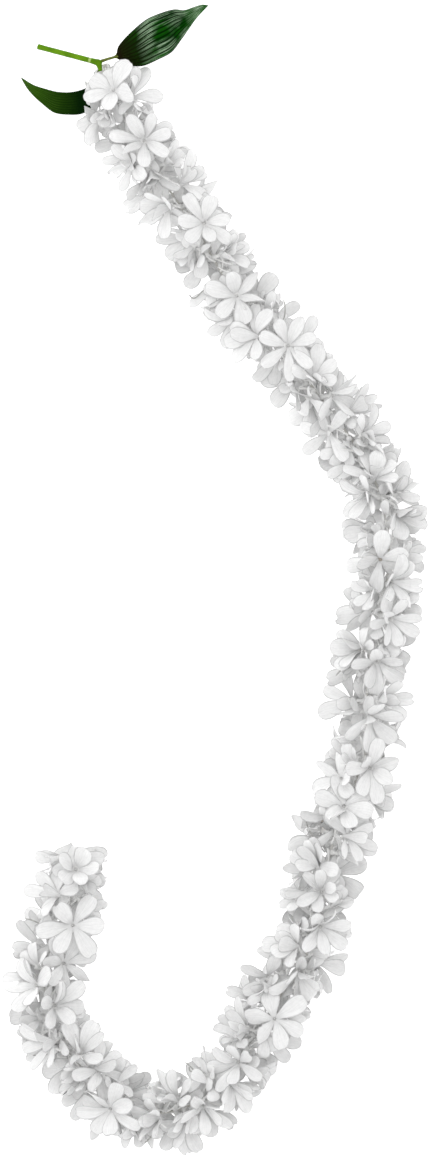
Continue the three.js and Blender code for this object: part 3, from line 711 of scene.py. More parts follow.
PETAL_WIDTH_JITTER = 0.6
PETAL_BEND = 34
PETAL_TWIST = 14
PETAL_SWAY = 6
PETAL_ELEVATION_JITTER = 5
WHORL_STEP = 6
PETAL_STATIONS = ((0.58, 0.5, 1.15), (0.88, 0.37, 0.95), (1, 0, 0))
LIFTS = (0, 8, -8, 16, -16, 24, -24, 34, -34, 46, -46, 60)
SHORTER = (1, 0.84, 0.68, 0.54)
ELEVATION_LIMITS = (-20, 84)
SAME_PLACE = 0.06
TABLE_CLEAR = 0.05
DRAW_FACTOR = 48271
DRAW_RING = 2147483647

bloom_seed = 20611


def draw():
    """The next number from 0 to 1 of the draw that placed the plain solids' petals."""
    global bloom_seed
    bloom_seed = bloom_seed * DRAW_FACTOR % DRAW_RING
    return bloom_seed / DRAW_RING


def jitter(amount):
    """The next drawn number from minus to plus an amount."""
    return (2 * draw() - 1) * amount


def bloom_at(middle, tangent, tube, throat, facing, first):
    """A bloom's frame: where it sits on the string, its tube's way, its throat and facing."""
    return {
        "middle": middle, "tangent": tangent, "tube": tube, "throat": throat,
        "facing": facing, "first": first, "second": np.cross(facing, first),
    }


def draw_bloom(middle, tangent, tube, faced, freedom, sevens):
    """One bloom: its frame, and the makings of each petal."""
    reach = HEAD_REACH + jitter(HEAD_REACH_JITTER)
    opening = FLAT_OPENING + (OPENING - FLAT_OPENING) * math.hypot(faced[0], faced[1])
    lean = jitter(FACING_JITTER * freedom)
    nod = jitter(FACING_JITTER * freedom)
    roll = 360 * draw()
    opening += jitter(OPENING_JITTER * freedom)
    count = 7 if draw() < sevens else 6
    across = square_to(tangent, faced)
    facing = faced + across * math.tan(math.radians(lean))
    facing = unit(facing + np.cross(faced, across) * math.tan(math.radians(nod)))
    petals = []
    for number in range(count):
        whorl = -WHORL_STEP if number % 2 else WHORL_STEP
        petals.append({
            "azimuth": roll + 360 * number / count,
            "sway": jitter(PETAL_SWAY),
            "elevation": opening + whorl + jitter(PETAL_ELEVATION_JITTER),
            "twist": jitter(PETAL_TWIST),
            "length": PETAL_LENGTH + jitter(PETAL_LENGTH_JITTER),
            "width": PETAL_ROOM / count + jitter(PETAL_WIDTH_JITTER),
        })
    throat = middle + tube * reach
    bloom = bloom_at(middle, tangent, tube, throat, facing, square_to(tangent, facing))
    bloom["petals"] = petals
    return bloom


def draw_pair(number):
    """The upper and the lower bloom of a pair."""
    x, y, lean_right, lean_up = UPPER_BLOOMS[number]
    start, end = string_corners[number], string_corners[number + 1]
    middle, tangent = (start + end) / 2, unit(end - start)
    upwards = at_pixel(x, y, STRING_HEIGHT) - middle
    upwards[2] = math.sqrt(max(HEAD_REACH ** 2 - float(np.dot(upwards, upwards)), 0))
    upwards = unit(upwards)
    downwards = -square_to(upwards, tangent)
    lower_faced = downwards
    if number == 0:
        lower_faced = unit(downwards + tangent * END_LEAN)
    if number == PAIR_COUNT - 1:
        lower_faced = unit(downwards - tangent * END_LEAN)
    faced = unit(np.array([lean_right, lean_up, 1.0]))
    upper = draw_bloom(middle, tangent, upwards, faced, UPPER_FREEDOM, UPPER_SEVENS)
    lower = draw_bloom(middle, tangent, downwards, lower_faced, LOWER_FREEDOM, LOWER_SEVENS)
    return upper, lower


def around(bloom, azimuth):
    """The way out of a bloom's throat at an angle round it."""
    turn = math.radians(azimuth)
    return bloom["first"] * math.cos(turn) + bloom["second"] * math.sin(turn)


def lifted(petal, lift):
    """A petal's elevation with a lift, within the limits that the plain solids keep."""
    return min(max(petal["elevation"] + lift, ELEVATION_LIMITS[0]), ELEVATION_LIMITS[1])


def plain_petal(bloom, petal, lift, scale):
    """The outer points of a petal of the plain solids, for one lift and one length."""
    length = petal["length"] * scale
    elevation = lifted(petal, lift)
    outward = around(bloom, petal["azimuth"] + petal["sway"])
    across = np.cross(bloom["facing"], outward)
    place = bloom["throat"] + outward * THROAT_RADIUS
    reached = 0
    points = []
    for along, half_width, keel in PETAL_STATIONS:
        slope = math.radians(elevation + PETAL_BEND * (0.5 - (reached + along) / 2))
        step = outward * math.cos(slope) + bloom["facing"] * math.sin(slope)
        normal = np.cross(step, across)
        place = place + step * (along - reached) * length
        reached = along
        if half_width:
            turn = math.radians(petal["twist"] * along)
            span = across * math.cos(turn) + normal * math.sin(turn)
            under = normal * math.cos(turn) - across * math.sin(turn)
            half = half_width * petal["width"]
            points += [place - span * half, place + span * half, place - under * keel]
    return points + [place]


def found_petal(bloom, petal, corners):
    """The length and elevation at which a petal stands in the plain solids, or nothing."""
    for scale in SHORTER:
        for lift in LIFTS:
            outer = plain_petal(bloom, petal, lift, scale)
            points = [point for point in outer if point[2] > TABLE_CLEAR]
            if points and all(corners.find(point)[2] < SAME_PLACE for point in points):
                return petal["length"] * scale, lifted(petal, lift)
    return None


# One petal as a closed blade: a grid drawn in at the claw, widest past its middle and round
# at the tip, doubled for its underside and closed along its rim
PETAL_COLUMNS = 4
PETAL_OUTLINE = (
    (-0.06, 0.23), (0.09, 0.36), (0.24, 0.58), (0.40, 0.81), (0.56, 0.97), (0.71, 1.02),
    (0.85, 0.90), (0.945, 0.63), (0.99, 0.30),
)
PETAL_THICKNESS = 0.4
PETAL_LOWEST = 0.3
PETAL_SAMPLES = 24
PETAL_CREASE = 42
CLAW_LENGTH = 0.2
CUPS = (-1.5, 1.6)
DEEP_CUPS = (2.6, 4.2)
DEEP_SHARE = 0.14
TURNS = (45, 80)
TURNED_SHARE = 0.13
PETAL_WHIMS = {
    "crease": (0.1, 0.6), "roll": (0.0, 0.6), "curl": (-34, 52), "point": (-0.12, 0.2),
    "skew": (-1.3, 1.3), "right_wave": (-0.5, 0.5), "left_wave": (-0.5, 0.5),
    "wide": (0.88, 1.06), "long": (0.82, 1.04), "lift": (-14, 14), "sway": (-9, 9),
}
CURL_FROM = 0.72
CURL_OVER = 0.28
CURL_POWER = 1.5
CUP_FADE_IN = 0.35
CUP_FADE_OUT = (1.25, 0.5)
POINT_FROM = 0.68
POINT_OVER = 0.32
WAVE_RATE = 7

petal_rows = len(PETAL_OUTLINE) - 1
bpy.ops.object.select_all(action="DESELECT")
bpy.ops.mesh.primitive_grid_add(x_subdivisions=PETAL_COLUMNS, y_subdivisions=petal_rows, size=1)
petal_blade = bpy.context.object
bpy.ops.object.mode_set(mode="EDIT")
shape = bmesh.from_edit_mesh(petal_blade.data)
for number, (along, wide) in enumerate(PETAL_OUTLINE):
    level = number / petal_rows - 0.5
    for corner in shape.verts:
        corner.select_set(abs(corner.co.y - level) < 0.01)
    bmesh.update_edit_mesh(petal_blade.data)
    bpy.ops.transform.resize(value=(wide, 1, 1), center_override=(0, level, 0))
    bpy.ops.transform.translate(value=(0, 0, along))
bpy.ops.mesh.select_all(action="SELECT")
bpy.ops.object.mode_set(mode="OBJECT")


def quad(row, column):
    """The corners of one face of a grid, each by its row and column."""
    return (row, column), (row, column + 1), (row + 1, column + 1), (row + 1, column)


blade_rows = {}
for corner in petal_blade.data.vertices:
    blade_rows.setdefault(round(corner.co.z, 4), []).append(corner)
ordered = [
    sorted(blade_rows[level], key=lambda corner: corner.co.x) for level in sorted(blade_rows)
]
petal_corners, petal_tops, numbers = [], [], {}
for side in (1, -1):
    for row, corners in enumerate(ordered):
        for column, corner in enumerate(corners):
            rim = row in (0, petal_rows) or column in (0, PETAL_COLUMNS)
            if rim and side < 0:
                numbers[row, column, side] = numbers[row, column, 1]
                continue
            numbers[row, column, side] = len(petal_corners)
            petal_corners.append((corner.co.x, corner.co.z))
            petal_tops.append(0.0 if rim else 0.5 * side)
petal_faces, petal_map = [], []
for row in range(petal_rows):
    for column in range(PETAL_COLUMNS):
        ring = quad(row, column)
        spots = [(across / PETAL_COLUMNS, along / petal_rows) for along, across in ring]
        petal_faces.append([numbers[along, across, 1] for along, across in ring])
        petal_map.append(spots)
        petal_faces.append([numbers[along, across, -1] for along, across in ring[::-1]])
        petal_map.append(spots[::-1])
bpy.data.objects.remove(petal_blade)
petal_corners = np.array(petal_corners)
petal_tops = np.array(petal_tops)


def petal_whim(chance):
    """What one petal has of its own: how it is cupped, creased, rolled, curled and turned."""
    deep = chance.random() <= DEEP_SHARE
    whim = {"cup": chance.uniform(*(DEEP_CUPS if deep else CUPS))}
    for name, limits in PETAL_WHIMS.items():
        whim[name] = chance.uniform(*limits)
    whim["turned"] = 0
    if chance.random() < TURNED_SHARE:
        whim["turned"] = chance.uniform(*TURNS) * chance.choice((-1, 1))
    return whim


def laid_petal(bloom, petal, length, elevation, whim):
    """The corners of one petal bent along its way out of the throat, cupped and curled."""
    outward = around(bloom, petal["azimuth"] + petal["sway"] + whim["sway"])
    across = np.cross(bloom["facing"], outward)
    length = length * whim["long"]
    samples = np.linspace(PETAL_OUTLINE[0][0], 1, PETAL_SAMPLES)
    curl = whim["curl"] * np.clip((samples - CURL_FROM) / CURL_OVER, 0, 1) ** CURL_POWER
    slopes = np.radians(elevation + whim["lift"] + PETAL_BEND * (0.5 - samples) - curl)
    steps = outward * np.cos(slopes)[:, None] + bloom["facing"] * np.sin(slopes)[:, None]
    strides = np.diff(samples, prepend=0.0) * length
    places = bloom["throat"] + outward * THROAT_RADIUS + np.cumsum(steps * strides[:, None], axis=0)

    wide, along = petal_corners[:, 0], petal_corners[:, 1]
    centre = np.stack([np.interp(along, samples, places[:, axis]) for axis in range(3)], axis=1)
    step = np.stack([np.interp(along, samples, steps[:, axis]) for axis in range(3)], axis=1)
    step /= np.linalg.norm(step, axis=1)[:, None]
    normal = np.cross(step, across)
    turn = np.radians((petal["twist"] + whim["turned"]) * along)[:, None]
    span = across * np.cos(turn) + normal * np.sin(turn)
    upper = normal * np.cos(turn) - across * np.sin(turn)

    side = np.clip(2 * wide / np.interp(along, *zip(*PETAL_OUTLINE)), -1, 1)
    fade = np.clip(along / CUP_FADE_IN, 0, 1)
    fade = fade * np.clip((CUP_FADE_OUT[0] - along) / CUP_FADE_OUT[1], 0, 1)
    rise = whim["cup"] * side ** 2 - whim["crease"] * (1 - np.abs(side)) - whim["roll"] * side ** 6
    rise = rise * fade
    wave = np.where(side > 0, whim["right_wave"], whim["left_wave"])
    rise += wave * np.abs(side) ** 3 * np.sin(along * WAVE_RATE)
    pointed = 1 - whim["point"] * np.clip((along - POINT_FROM) / POINT_OVER, 0, 1)
    aside = wide * petal["width"] * whim["wide"] * pointed
    aside = aside + whim["skew"] * np.clip(along, 0, 1) ** 2
    sheet = centre + span * aside[:, None] + upper * rise[:, None]
    sheet[:, 2] = np.maximum(sheet[:, 2], PETAL_LOWEST)
    return sheet + upper * (petal_tops * PETAL_THICKNESS)[:, None]


# Where petals already lie, so that no petal is laid through another. A petal's claw, which
# its neighbours in the bloom share, doesn't count.
blade_faces = [face for face in petal_faces if min(petal_corners[face, 1]) > CLAW_LENGTH]
lying = {"lows": np.empty((0, 3)), "highs": np.empty((0, 3)), "blades": []}


def crossings(laid):
    """How many faces of the petals that already lie are crossed by this one."""
    low, high = laid.min(axis=0), laid.max(axis=0)
    near = np.nonzero(np.all((lying["lows"] < high) & (lying["highs"] > low), axis=1))[0]
    if not len(near):
        return 0
    blade = BVHTree.FromPolygons(laid.tolist(), blade_faces)
    return sum(len(blade.overlap(lying["blades"][other])) for other in near)


def keep_place(laid):
    """Adds a petal to those that already lie."""
    lying["lows"] = np.vstack([lying["lows"], laid.min(axis=0)])
    lying["highs"] = np.vstack([lying["highs"], laid.max(axis=0)])
    lying["blades"].append(BVHTree.FromPolygons(laid.tolist(), blade_faces))


# Where no petal is laid: over a throat that looks upwards, over the sprig, and past the two
# ends of the lei, as boxes measured on the page
THROAT_CLEAR = 6.5
THROAT_SKY = (0.5, 22)
CLEAR_PX = (
    (-30, -30, 470, 56), (-30, -30, 82, 118), (-30, -30, 103, 71), (-30, -30, 118, 61),
    (-30, 600, 130, 842),
)

open_throats = []


def covers_throat(laid):
    """Whether a petal stands in the way of a throat that opens upwards."""
    for throat, facing in open_throats:
        offset = laid - throat
        height = offset @ facing
        spread = np.linalg.norm(offset - np.outer(height, facing), axis=1)
        before = (height > THROAT_SKY[0]) & (height < THROAT_SKY[1])
        if np.any(before & (spread < THROAT_CLEAR)):
            return True
    return False


def strays(laid):
    """Whether a petal reaches over the sprig or past an end, where the page is clear."""
    right_of, over = laid[:, 0], laid[:, 1]
    for left_px, top_px, right_px, bottom_px in CLEAR_PX:
        left, high = at_pixel(left_px, top_px, 0)[:2]
        right, low = at_pixel(right_px, bottom_px, 0)[:2]
        if np.any((right_of > left) & (right_of < right) & (over > low) & (over < high)):
            return True
    return False


# Petal tips that stand out of the lei's outline, and the notches between them with their
# radii, measured on the page
RIM_TIPS_PX = (
    (128, 59), (153, 68), (155, 80), (152, 98), (172, 133), (173, 150), (186, 151), (203, 166),
    (107, 170), (230, 222), (146, 224), (257, 250), (173, 256), (173, 271), (267, 282),
    (190, 282), (282, 308), (318, 317), (338, 347), (269, 382), (358, 373), (371, 404),
    (292, 416), (385, 422), (390, 441), (319, 459), (335, 475), (414, 496), (425, 520),
    (345, 536), (420, 545), (352, 562), (424, 565), (420, 584), (346, 595), (425, 609),
    (340, 636), (420, 638), (331, 662), (407, 670), (388, 680), (333, 705), (407, 719),
    (396, 765), (311, 796), (375, 830), (301, 828), (287, 849), (105, 859), (43, 858), (361, 862),
    (283, 871), (106, 879), (37, 881), (281, 891), (35, 895), (359, 899), (102, 909), (352, 923),
    (22, 925), (103, 933), (271, 938), (17, 948), (94, 956), (12, 985), (337, 981), (11, 1009),
    (16, 1028), (214, 1034), (304, 1042), (18, 1040), (42, 1072), (139, 1071), (169, 1072),
    (261, 1088), (56, 1089), (87, 1136), (104, 1139), (213, 1139), (125, 1149), (204, 1151),
    (141, 1150), (154, 1150), (186, 1153), (77, 1117), (228, 1133), (245, 1113), (241, 967),
    (223, 992), (217, 1020),
)
NOTCHES_PX = (
    (157, 70, 4), (89, 70, 4), (144, 93, 7), (226, 206, 4), (236, 228, 5), (173, 248, 4),
    (256, 280, 4), (194, 287, 6), (329, 345, 4), (340, 356, 3), (251, 364, 3), (276, 375, 5),
    (348, 370, 3), (360, 381, 4), (289, 406, 4), (373, 415, 4), (405, 505, 3), (418, 509, 4),
    (425, 533, 5), (351, 549, 4), (352, 574, 5), (417, 577, 4), (421, 625, 3), (352, 636, 5),
    (330, 653, 4), (408, 657, 5), (397, 684, 7), (342, 691, 5), (345, 727, 7), (390, 750, 4),
    (312, 807, 3), (370, 809, 4), (300, 838, 4), (286, 858, 3), (351, 871, 8), (42, 867, 3),
    (106, 868, 3), (101, 894, 5), (36, 905, 6), (351, 913, 5), (103, 920, 3), (20, 935, 4),
    (331, 968, 6), (75, 992, 5), (10, 997, 4), (15, 1019, 4), (303, 1028, 4), (218, 1050, 5),
    (181, 1070, 4), (53, 1076, 5), (153, 1077, 5), (114, 1141, 5), (206, 1141, 3), (132, 1151, 3),
    (285, 303, 5), (322, 470, 5), (263, 276, 4),
)
TIP_NEAR = 2.2
TIP_FROM = 0.8
NOTCH_COST = 3
TIP_GAIN = 3
FEWEST_TRIES = 4
PETAL_HIGHEST = 54

rim_tips = [at_pixel(x, y, 0)[:2] for x, y in RIM_TIPS_PX]
notches = np.array([at_pixel(x, y, 0)[:2] for x, y, _ in NOTCHES_PX])
notch_radii = np.array([radius * MM_PER_PX for _, _, radius in NOTCHES_PX])
outer_corners = petal_corners[:, 1] > TIP_FROM


def touched_tips(laid):
    """The open tips of the outline that a petal's end reaches."""
    outer = laid[outer_corners][:, :2]
    return [tip for tip in rim_tips if np.min(np.linalg.norm(outer - tip, axis=1)) < TIP_NEAR]


def in_notches(laid):
    """How many notches of the outline a petal reaches into."""
    apart = np.linalg.norm(laid[:, None, :2] - notches[None], axis=2).min(axis=0)
    return int(np.sum(apart < notch_radii))


def best_laid(bloom, petal, length, elevation, chance, tries):
    """The petal laid with the best of some whims, and how many faces it crosses. The best
    crosses no other petal, keeps out of the notches and, where it can, ends at a tip."""
    best, least, crossed_by_best = None, None, None
    for number in range(tries):
        laid = laid_petal(bloom, petal, length, elevation, petal_whim(chance))
        crossed = crossings(laid)
        cost = crossed + NOTCH_COST * in_notches(laid) - TIP_GAIN * bool(touched_tips(laid))
        if least is None or cost < least:
            best, least, crossed_by_best = laid, cost, crossed
        if least < 0 or (least == 0 and number >= FEWEST_TRIES):
            break
    return best, crossed_by_best


def taken(laid):
    """Marks a petal as laid, and the tips that it reaches as filled."""
    keep_place(laid)
    for tip in touched_tips(laid):
        rim_tips[:] = [other for other in rim_tips if other is not tip]


def has_room(laid, crossed):
    """Whether an extra petal may be laid here."""
    low, high = laid.min(axis=0)[2], laid.max(axis=0)[2]
    clear = not crossed and low > TABLE_CLEAR and high < PETAL_HIGHEST and not in_notches(laid)
    return clear and not covers_throat(laid) and not strays(laid)


# One tube as a closed skin of rings: a calyx round the string, a slim neck, a flare to the
# petals' roots, and the sunken throat with its small ridged crown
TUBE_SIDES = 8
TUBE_RINGS = (
    (0.00, 1.5, 0), (0.10, 2.2, 0), (0.27, 1.75, 0), (0.38, 1.05, 0.05), (0.66, 1.0, 0.08),
    (0.86, 1.6, 0.1), (0.99, 2.4, 0.12), (0.92, 1.5, 0.2), (0.86, 0.85, 0.2), (0.95, 0.3, 0.1),
)
TUBE_PULL = 4.5

tube_corners, tube_faces, tube_map = [], [], []
for along, radius, ridge in TUBE_RINGS:
    for side in range(TUBE_SIDES):
        turn = 2 * math.pi * side / TUBE_SIDES
        spread = radius * (1 + ridge * (1 if side % 2 else -1))
        tube_corners.append((along, spread * math.cos(turn), spread * math.sin(turn)))
tube_rows = len(TUBE_RINGS) - 1
for row in range(tube_rows):
    for side in range(TUBE_SIDES):
        ring = quad(row, side)
        tube_faces.append([along * TUBE_SIDES + turn % TUBE_SIDES for along, turn in ring])
        tube_map.append([(turn / TUBE_SIDES, along / tube_rows) for along, turn in ring])
tube_faces.append([tube_rows * TUBE_SIDES + side for side in range(TUBE_SIDES)])
tube_map.append([(side / TUBE_SIDES, 1.0) for side in range(TUBE_SIDES)])
tube_faces.append(list(range(TUBE_SIDES))[::-1])
tube_map.append([(side / TUBE_SIDES, 0.0) for side in range(TUBE_SIDES)][::-1])
tube_corners = np.array(tube_corners)


def laid_tube(bloom):
    """The corners of one tube along its way from the string to the throat."""
    start, end = bloom["middle"], bloom["throat"]
    out = start + bloom["tube"] * TUBE_PULL
    back = end - bloom["facing"] * TUBE_PULL
    share = tube_corners[:, 0][:, None]
    left = 1 - share
    centre = (
        start * left ** 3 + out * 3 * share * left ** 2
        + back * 3 * share ** 2 * left + end * share ** 3
    )
    axis = 3 * (
        (out - start) * left ** 2 + (back - out) * 2 * share * left + (end - back) * share ** 2
    )
    axis /= np.linalg.norm(axis, axis=1)[:, None]
    first = bloom["tangent"] - axis * (axis @ bloom["tangent"])[:, None]
    first /= np.linalg.norm(first, axis=1)[:, None]
    second = np.cross(axis, first)
    return centre + first * tube_corners[:, 1][:, None] + second * tube_corners[:, 2][:, None]


# The blooms' finishes: petals with fine veins and a mottle, with painted shade at the claw and
# a painted dark outline round the rim, tubes that are aged a warm beige in places, with painted
# shade at the string and in the throat, and the dull grey of dry threads
petal_skin, tree, shader, place = finish_nodes("petal_skin")
across, along = map_ways(tree, place)
veins = noise(tree, stretched(tree, place["UV"], (26, 1.6, 1)), 1, 3, 0.6)
mottle = noise(tree, place["Object"], 420, 5, 0.68)
tone = node(tree, "ShaderNodeAttribute", attribute_name="tone")
white = ramp(tree, mottle, [(0.36, (0.91, 0.91, 0.908)), (0.62, (0.975, 0.975, 0.972))])
vein_tone = ramp(tree, veins, [(0.40, 0.89), (0.56, 1.0)])
# Painted shade: the petal is darker at its claw, where it sinks into the throat, and has a dark
# painted outline along its tip and its sides
painted_claw_and_tip_shade = ramp(tree, along, [(0.02, 0.80), (0.30, 0.98), (0.93, 1.0), (1.0, 0.62)])
painted_rim_shade = ramp(tree, across, [(0.0, 0.56), (0.085, 1.0), (0.915, 1.0), (1.0, 0.56)])
flesh = multiplied(tree, white, vein_tone, painted_claw_and_tip_shade, painted_rim_shade, tone.outputs["Color"])
dyed(tree, shader, flesh, 0.55, specular=0.3, sheen=0.05)
vein_bump = bumped(tree, shader, veins, 0.35, 0.35)
bumped(tree, shader, mottle, 0.15, 0.2, under=vein_bump)

tube_skin, tree, shader, place = finish_nodes("tube_skin")
_, along = map_ways(tree, place)
grain = noise(tree, place["Object"], 500, 4, 0.6)
pale = ramp(tree, grain, [(0.3, (0.85, 0.85, 0.84)), (0.7, (0.93, 0.93, 0.92))])
aged = ramp(tree, noise(tree, place["Object"], 17, 2), [(0.67, 0.0), (0.73, 0.7)])
aging = blend_of(tree, "MIX", aged, pale, (0.74, 0.66, 0.57))
# Painted shade: the tube is darker at its string end and down in its sunken throat
string_and_throat_shade = ramp(tree, along, [(0.0, 0.75), (0.4, 1.0), (0.68, 0.95), (0.85, 0.74), (1.0, 0.86)])
dyed(tree, shader, multiplied(tree, aging, string_and_throat_shade), 0.6, specular=0.25)
bumped(tree, shader, grain, 0.3, 0.2)

thread_skin = grained_skin(
    "dry_thread", 800, (0.35, (0.34, 0.34, 0.33)), (0.65, (0.52, 0.52, 0.50)),
    0.7, (0.3, 0.1), specular=0.2,
)

# The blooms of the plain solids: each petal lies where its solid lies, and has its own droop,
# breadth and whims. It is made shorter only where it would reach over the sprig.
MAIN_TRIES = 12
MAIN_DROOP = (4, 19)
MAIN_CLOSING = (-8, 24)
MAIN_BREADTH = (0.84, 1.08)
MAIN_TONES = (0.965, 1.0)
# The extra petals' tones reach darker than the big blooms': a random tone with some painted shade,
# as most of them lie low among the big blooms
EXTRA_TONES_AND_SHADE = (0.945, 1.0)
STANDING_SHARE = 0.18
STANDING_LIFT = (14, 34)

chance = random.Random(7041)
pair_parts = [[] for _ in range(PAIR_COUNT)]


def add_tube(number, bloom):
    """Puts a bloom's tube into a pair's piece."""
    pair_parts[number].append((laid_tube(bloom), tube_faces, tube_map, 1.0, 1))


def add_petal(number, laid, tones=EXTRA_TONES_AND_SHADE):
    """Puts a petal into a pair's piece in a tone of its own, and marks its place as taken."""
    taken(laid)
    pair_parts[number].append((laid, petal_faces, petal_map, chance.uniform(*tones), 0))


petals_found = petals_left_out = petals_crossed = 0
for number in range(PAIR_COUNT):
    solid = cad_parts[f"bloom_pair_{number + 1:02d}"].data.vertices
    solid_corners = KDTree(len(solid))
    for count, corner in enumerate(solid):
        solid_corners.insert(corner.co / MM, count)
    solid_corners.balance()
    for bloom in draw_pair(number):
        add_tube(number, bloom)
        if bloom["facing"][2] > 0:
            open_throats.append((bloom["throat"], bloom["facing"]))
        drooped, droop = chance.uniform(0, 360), chance.uniform(*MAIN_DROOP)
        closing = chance.uniform(*MAIN_CLOSING)
        breadth = chance.uniform(*MAIN_BREADTH)
        for petal in bloom["petals"]:
            found = found_petal(bloom, petal, solid_corners)
            if not found:
                petals_left_out += 1
                continue
            petals_found += 1
            length, elevation = found
            elevation += closing + droop * math.cos(math.radians(petal["azimuth"] - drooped))
            if chance.random() < STANDING_SHARE:
                elevation += chance.uniform(*STANDING_LIFT)
            petal["width"] *= breadth
            for shorter in SHORTER:
                laid, crossed = best_laid(
                    bloom, petal, length * shorter, elevation, chance, MAIN_TRIES,
                )
                if not strays(laid):
                    break
            petals_crossed += crossed > 0
            add_petal(number, laid, MAIN_TONES)

# Smaller blooms fill the outline: each is turned so that one of its petals ends at a tip
# that the big ones leave open, with its other petals wherever there is room
RIM_WAYS = 9
RIM_TRIES = 4
RIM_SPOTS = (0.1, 0.9)
RIM_LEANS = (-0.3, 1.3)
RIM_RISES = (5, 40)
RIM_HEIGHTS = (4, 42)
RIM_REACH = (3.5, 17)
RIM_LOWEST = 3
RIM_LENGTHS = (15, 21)
RIM_OTHER_LENGTHS = (14, 19.5)
RIM_WIDTHS = (8, 11)
RIM_LIFT = 14
RIM_TWIST = 20
CHORD_SHARE = 0.97
SMALL_SWAY = 9
SMALL_NOD = 0.4


def swing(amount):
    """The next drawn number from minus to plus an amount, for the parts of the scene alone."""
    return chance.uniform(-amount, amount)


def stretch_of(number):
    """A pair's stretch of the string: its start, its span, its direction and its left side."""
    start, end = string_corners[number], string_corners[number + 1]
    tangent = unit(end - start)
    return start, end - start, tangent, np.cross(UP, tangent)


def pair_by(tip):
    """The pair whose stretch of the string is nearest to a point of the page."""
    ends = zip(string_corners[:-1], string_corners[1:])
    apart = [np.linalg.norm((start + end)[:2] / 2 - tip) for start, end in ends]
    return apart.index(min(apart))


for tip in list(rim_tips):
    if not any(tip is other for other in rim_tips):
        continue
    number = pair_by(tip)
    start, span, tangent, _ = stretch_of(number)
    best = None
    for _ in range(RIM_WAYS):
        middle = start + span * chance.uniform(*RIM_SPOTS)
        outward = unit(np.array([*(tip - middle[:2]), 0.0]))
        lean, rise = chance.uniform(*RIM_LEANS), math.radians(chance.uniform(*RIM_RISES))
        facing = outward * math.sin(lean) + UP * math.cos(lean)
        facing = unit(facing + tangent * swing(SMALL_NOD))
        first = square_to(outward, facing)
        length = chance.uniform(*RIM_LENGTHS)
        chord = first * math.cos(rise) + facing * math.sin(rise)
        tip_place = np.array([*tip, chance.uniform(*RIM_HEIGHTS)])
        throat = tip_place - first * THROAT_RADIUS - chord * length * CHORD_SHARE
        reach = float(np.linalg.norm(throat - middle))
        if not RIM_REACH[0] < reach < RIM_REACH[1] or throat[2] < RIM_LOWEST:
            continue
        bloom = bloom_at(middle, tangent, unit(throat - middle), throat, facing, first)
        laid_petals, aimed = [], False
        count = chance.choice((5, 6))
        for spoke in range(count):
            petal = {
                "azimuth": 360 * spoke / count, "sway": swing(SMALL_SWAY) if spoke else 0,
                "twist": swing(RIM_TWIST), "width": chance.uniform(*RIM_WIDTHS),
            }
            own_length = chance.uniform(*RIM_OTHER_LENGTHS) if spoke else length
            elevation = math.degrees(rise) + (swing(RIM_LIFT) if spoke else 0)
            laid, crossed = best_laid(bloom, petal, own_length, elevation, chance, RIM_TRIES)
            if has_room(laid, crossed):
                laid_petals.append(laid)
                aimed = aimed or (spoke == 0 and bool(touched_tips(laid)))
            elif spoke == 0:
                break
        if aimed and (best is None or len(laid_petals) > len(best[1])):
            best = (bloom, laid_petals)
    if best:
        add_tube(number, best[0])
        for laid in best[1]:
            add_petal(number, laid)

# Between each pair's two blooms the thread carries smaller half-open ones, which look out
# sideways wherever the others leave them room
SIDE_WAYS = 7
SIDE_TRIES = 5
SIDE_SPOTS = (0.82, 0.18, 0.5)
SIDE_TURNS = ((30, 112), (30, 112), (105, 165))
SIDE_REACH = (6.5, 12.5)
SIDE_SLANT = 0.5
SIDE_RISES = (-0.1, 0.4)
SIDE_OPENINGS = (16, 70)
SIDE_LENGTHS = (12, 17.5)
SIDE_WIDTHS = (7.5, 10)
SIDE_LIFT = 12
SIDE_TWIST = 24
LEAST_SIDE_PETALS = 3

side_petals = 0
for number in range(PAIR_COUNT):
    start, span, tangent, beside = stretch_of(number)
    for which, (spot, turns) in enumerate(zip(SIDE_SPOTS, SIDE_TURNS)):
        middle = start + span * spot
        hand = 1 if (number + which) % 2 else -1
        best = None
        for _ in range(SIDE_WAYS):
            turn = math.radians(chance.uniform(*turns)) * hand
            tube = beside * math.sin(turn) + UP * math.cos(turn)
            tube = unit(tube + tangent * swing(SIDE_SLANT))
            reach = chance.uniform(*SIDE_REACH)
            facing = tube + UP * chance.uniform(*SIDE_RISES)
            facing = unit(facing + tangent * swing(SMALL_NOD))
            first = square_to(tangent, facing)
            bloom = bloom_at(middle, tangent, tube, middle + tube * reach, facing, first)
            count = chance.choice((5, 6, 6))
            roll = chance.uniform(0, 360)
            opening = chance.uniform(*SIDE_OPENINGS)
            laid_petals = []
            for spoke in range(count):
                petal = {
                    "azimuth": roll + 360 * spoke / count, "sway": swing(SMALL_SWAY),
                    "twist": swing(SIDE_TWIST), "width": chance.uniform(*SIDE_WIDTHS),
                }
                length = chance.uniform(*SIDE_LENGTHS)
                elevation = opening + swing(SIDE_LIFT)
                laid, crossed = best_laid(bloom, petal, length, elevation, chance, SIDE_TRIES)
                if has_room(laid, crossed):
                    laid_petals.append(laid)
            if best is None or len(laid_petals) > len(best[1]):
                best = (bloom, laid_petals)
        bloom, laid_petals = best
        if len(laid_petals) < LEAST_SIDE_PETALS:
            continue
        side_petals += len(laid_petals)
        add_tube(number, bloom)
        for laid in laid_petals:
            add_petal(number, laid)

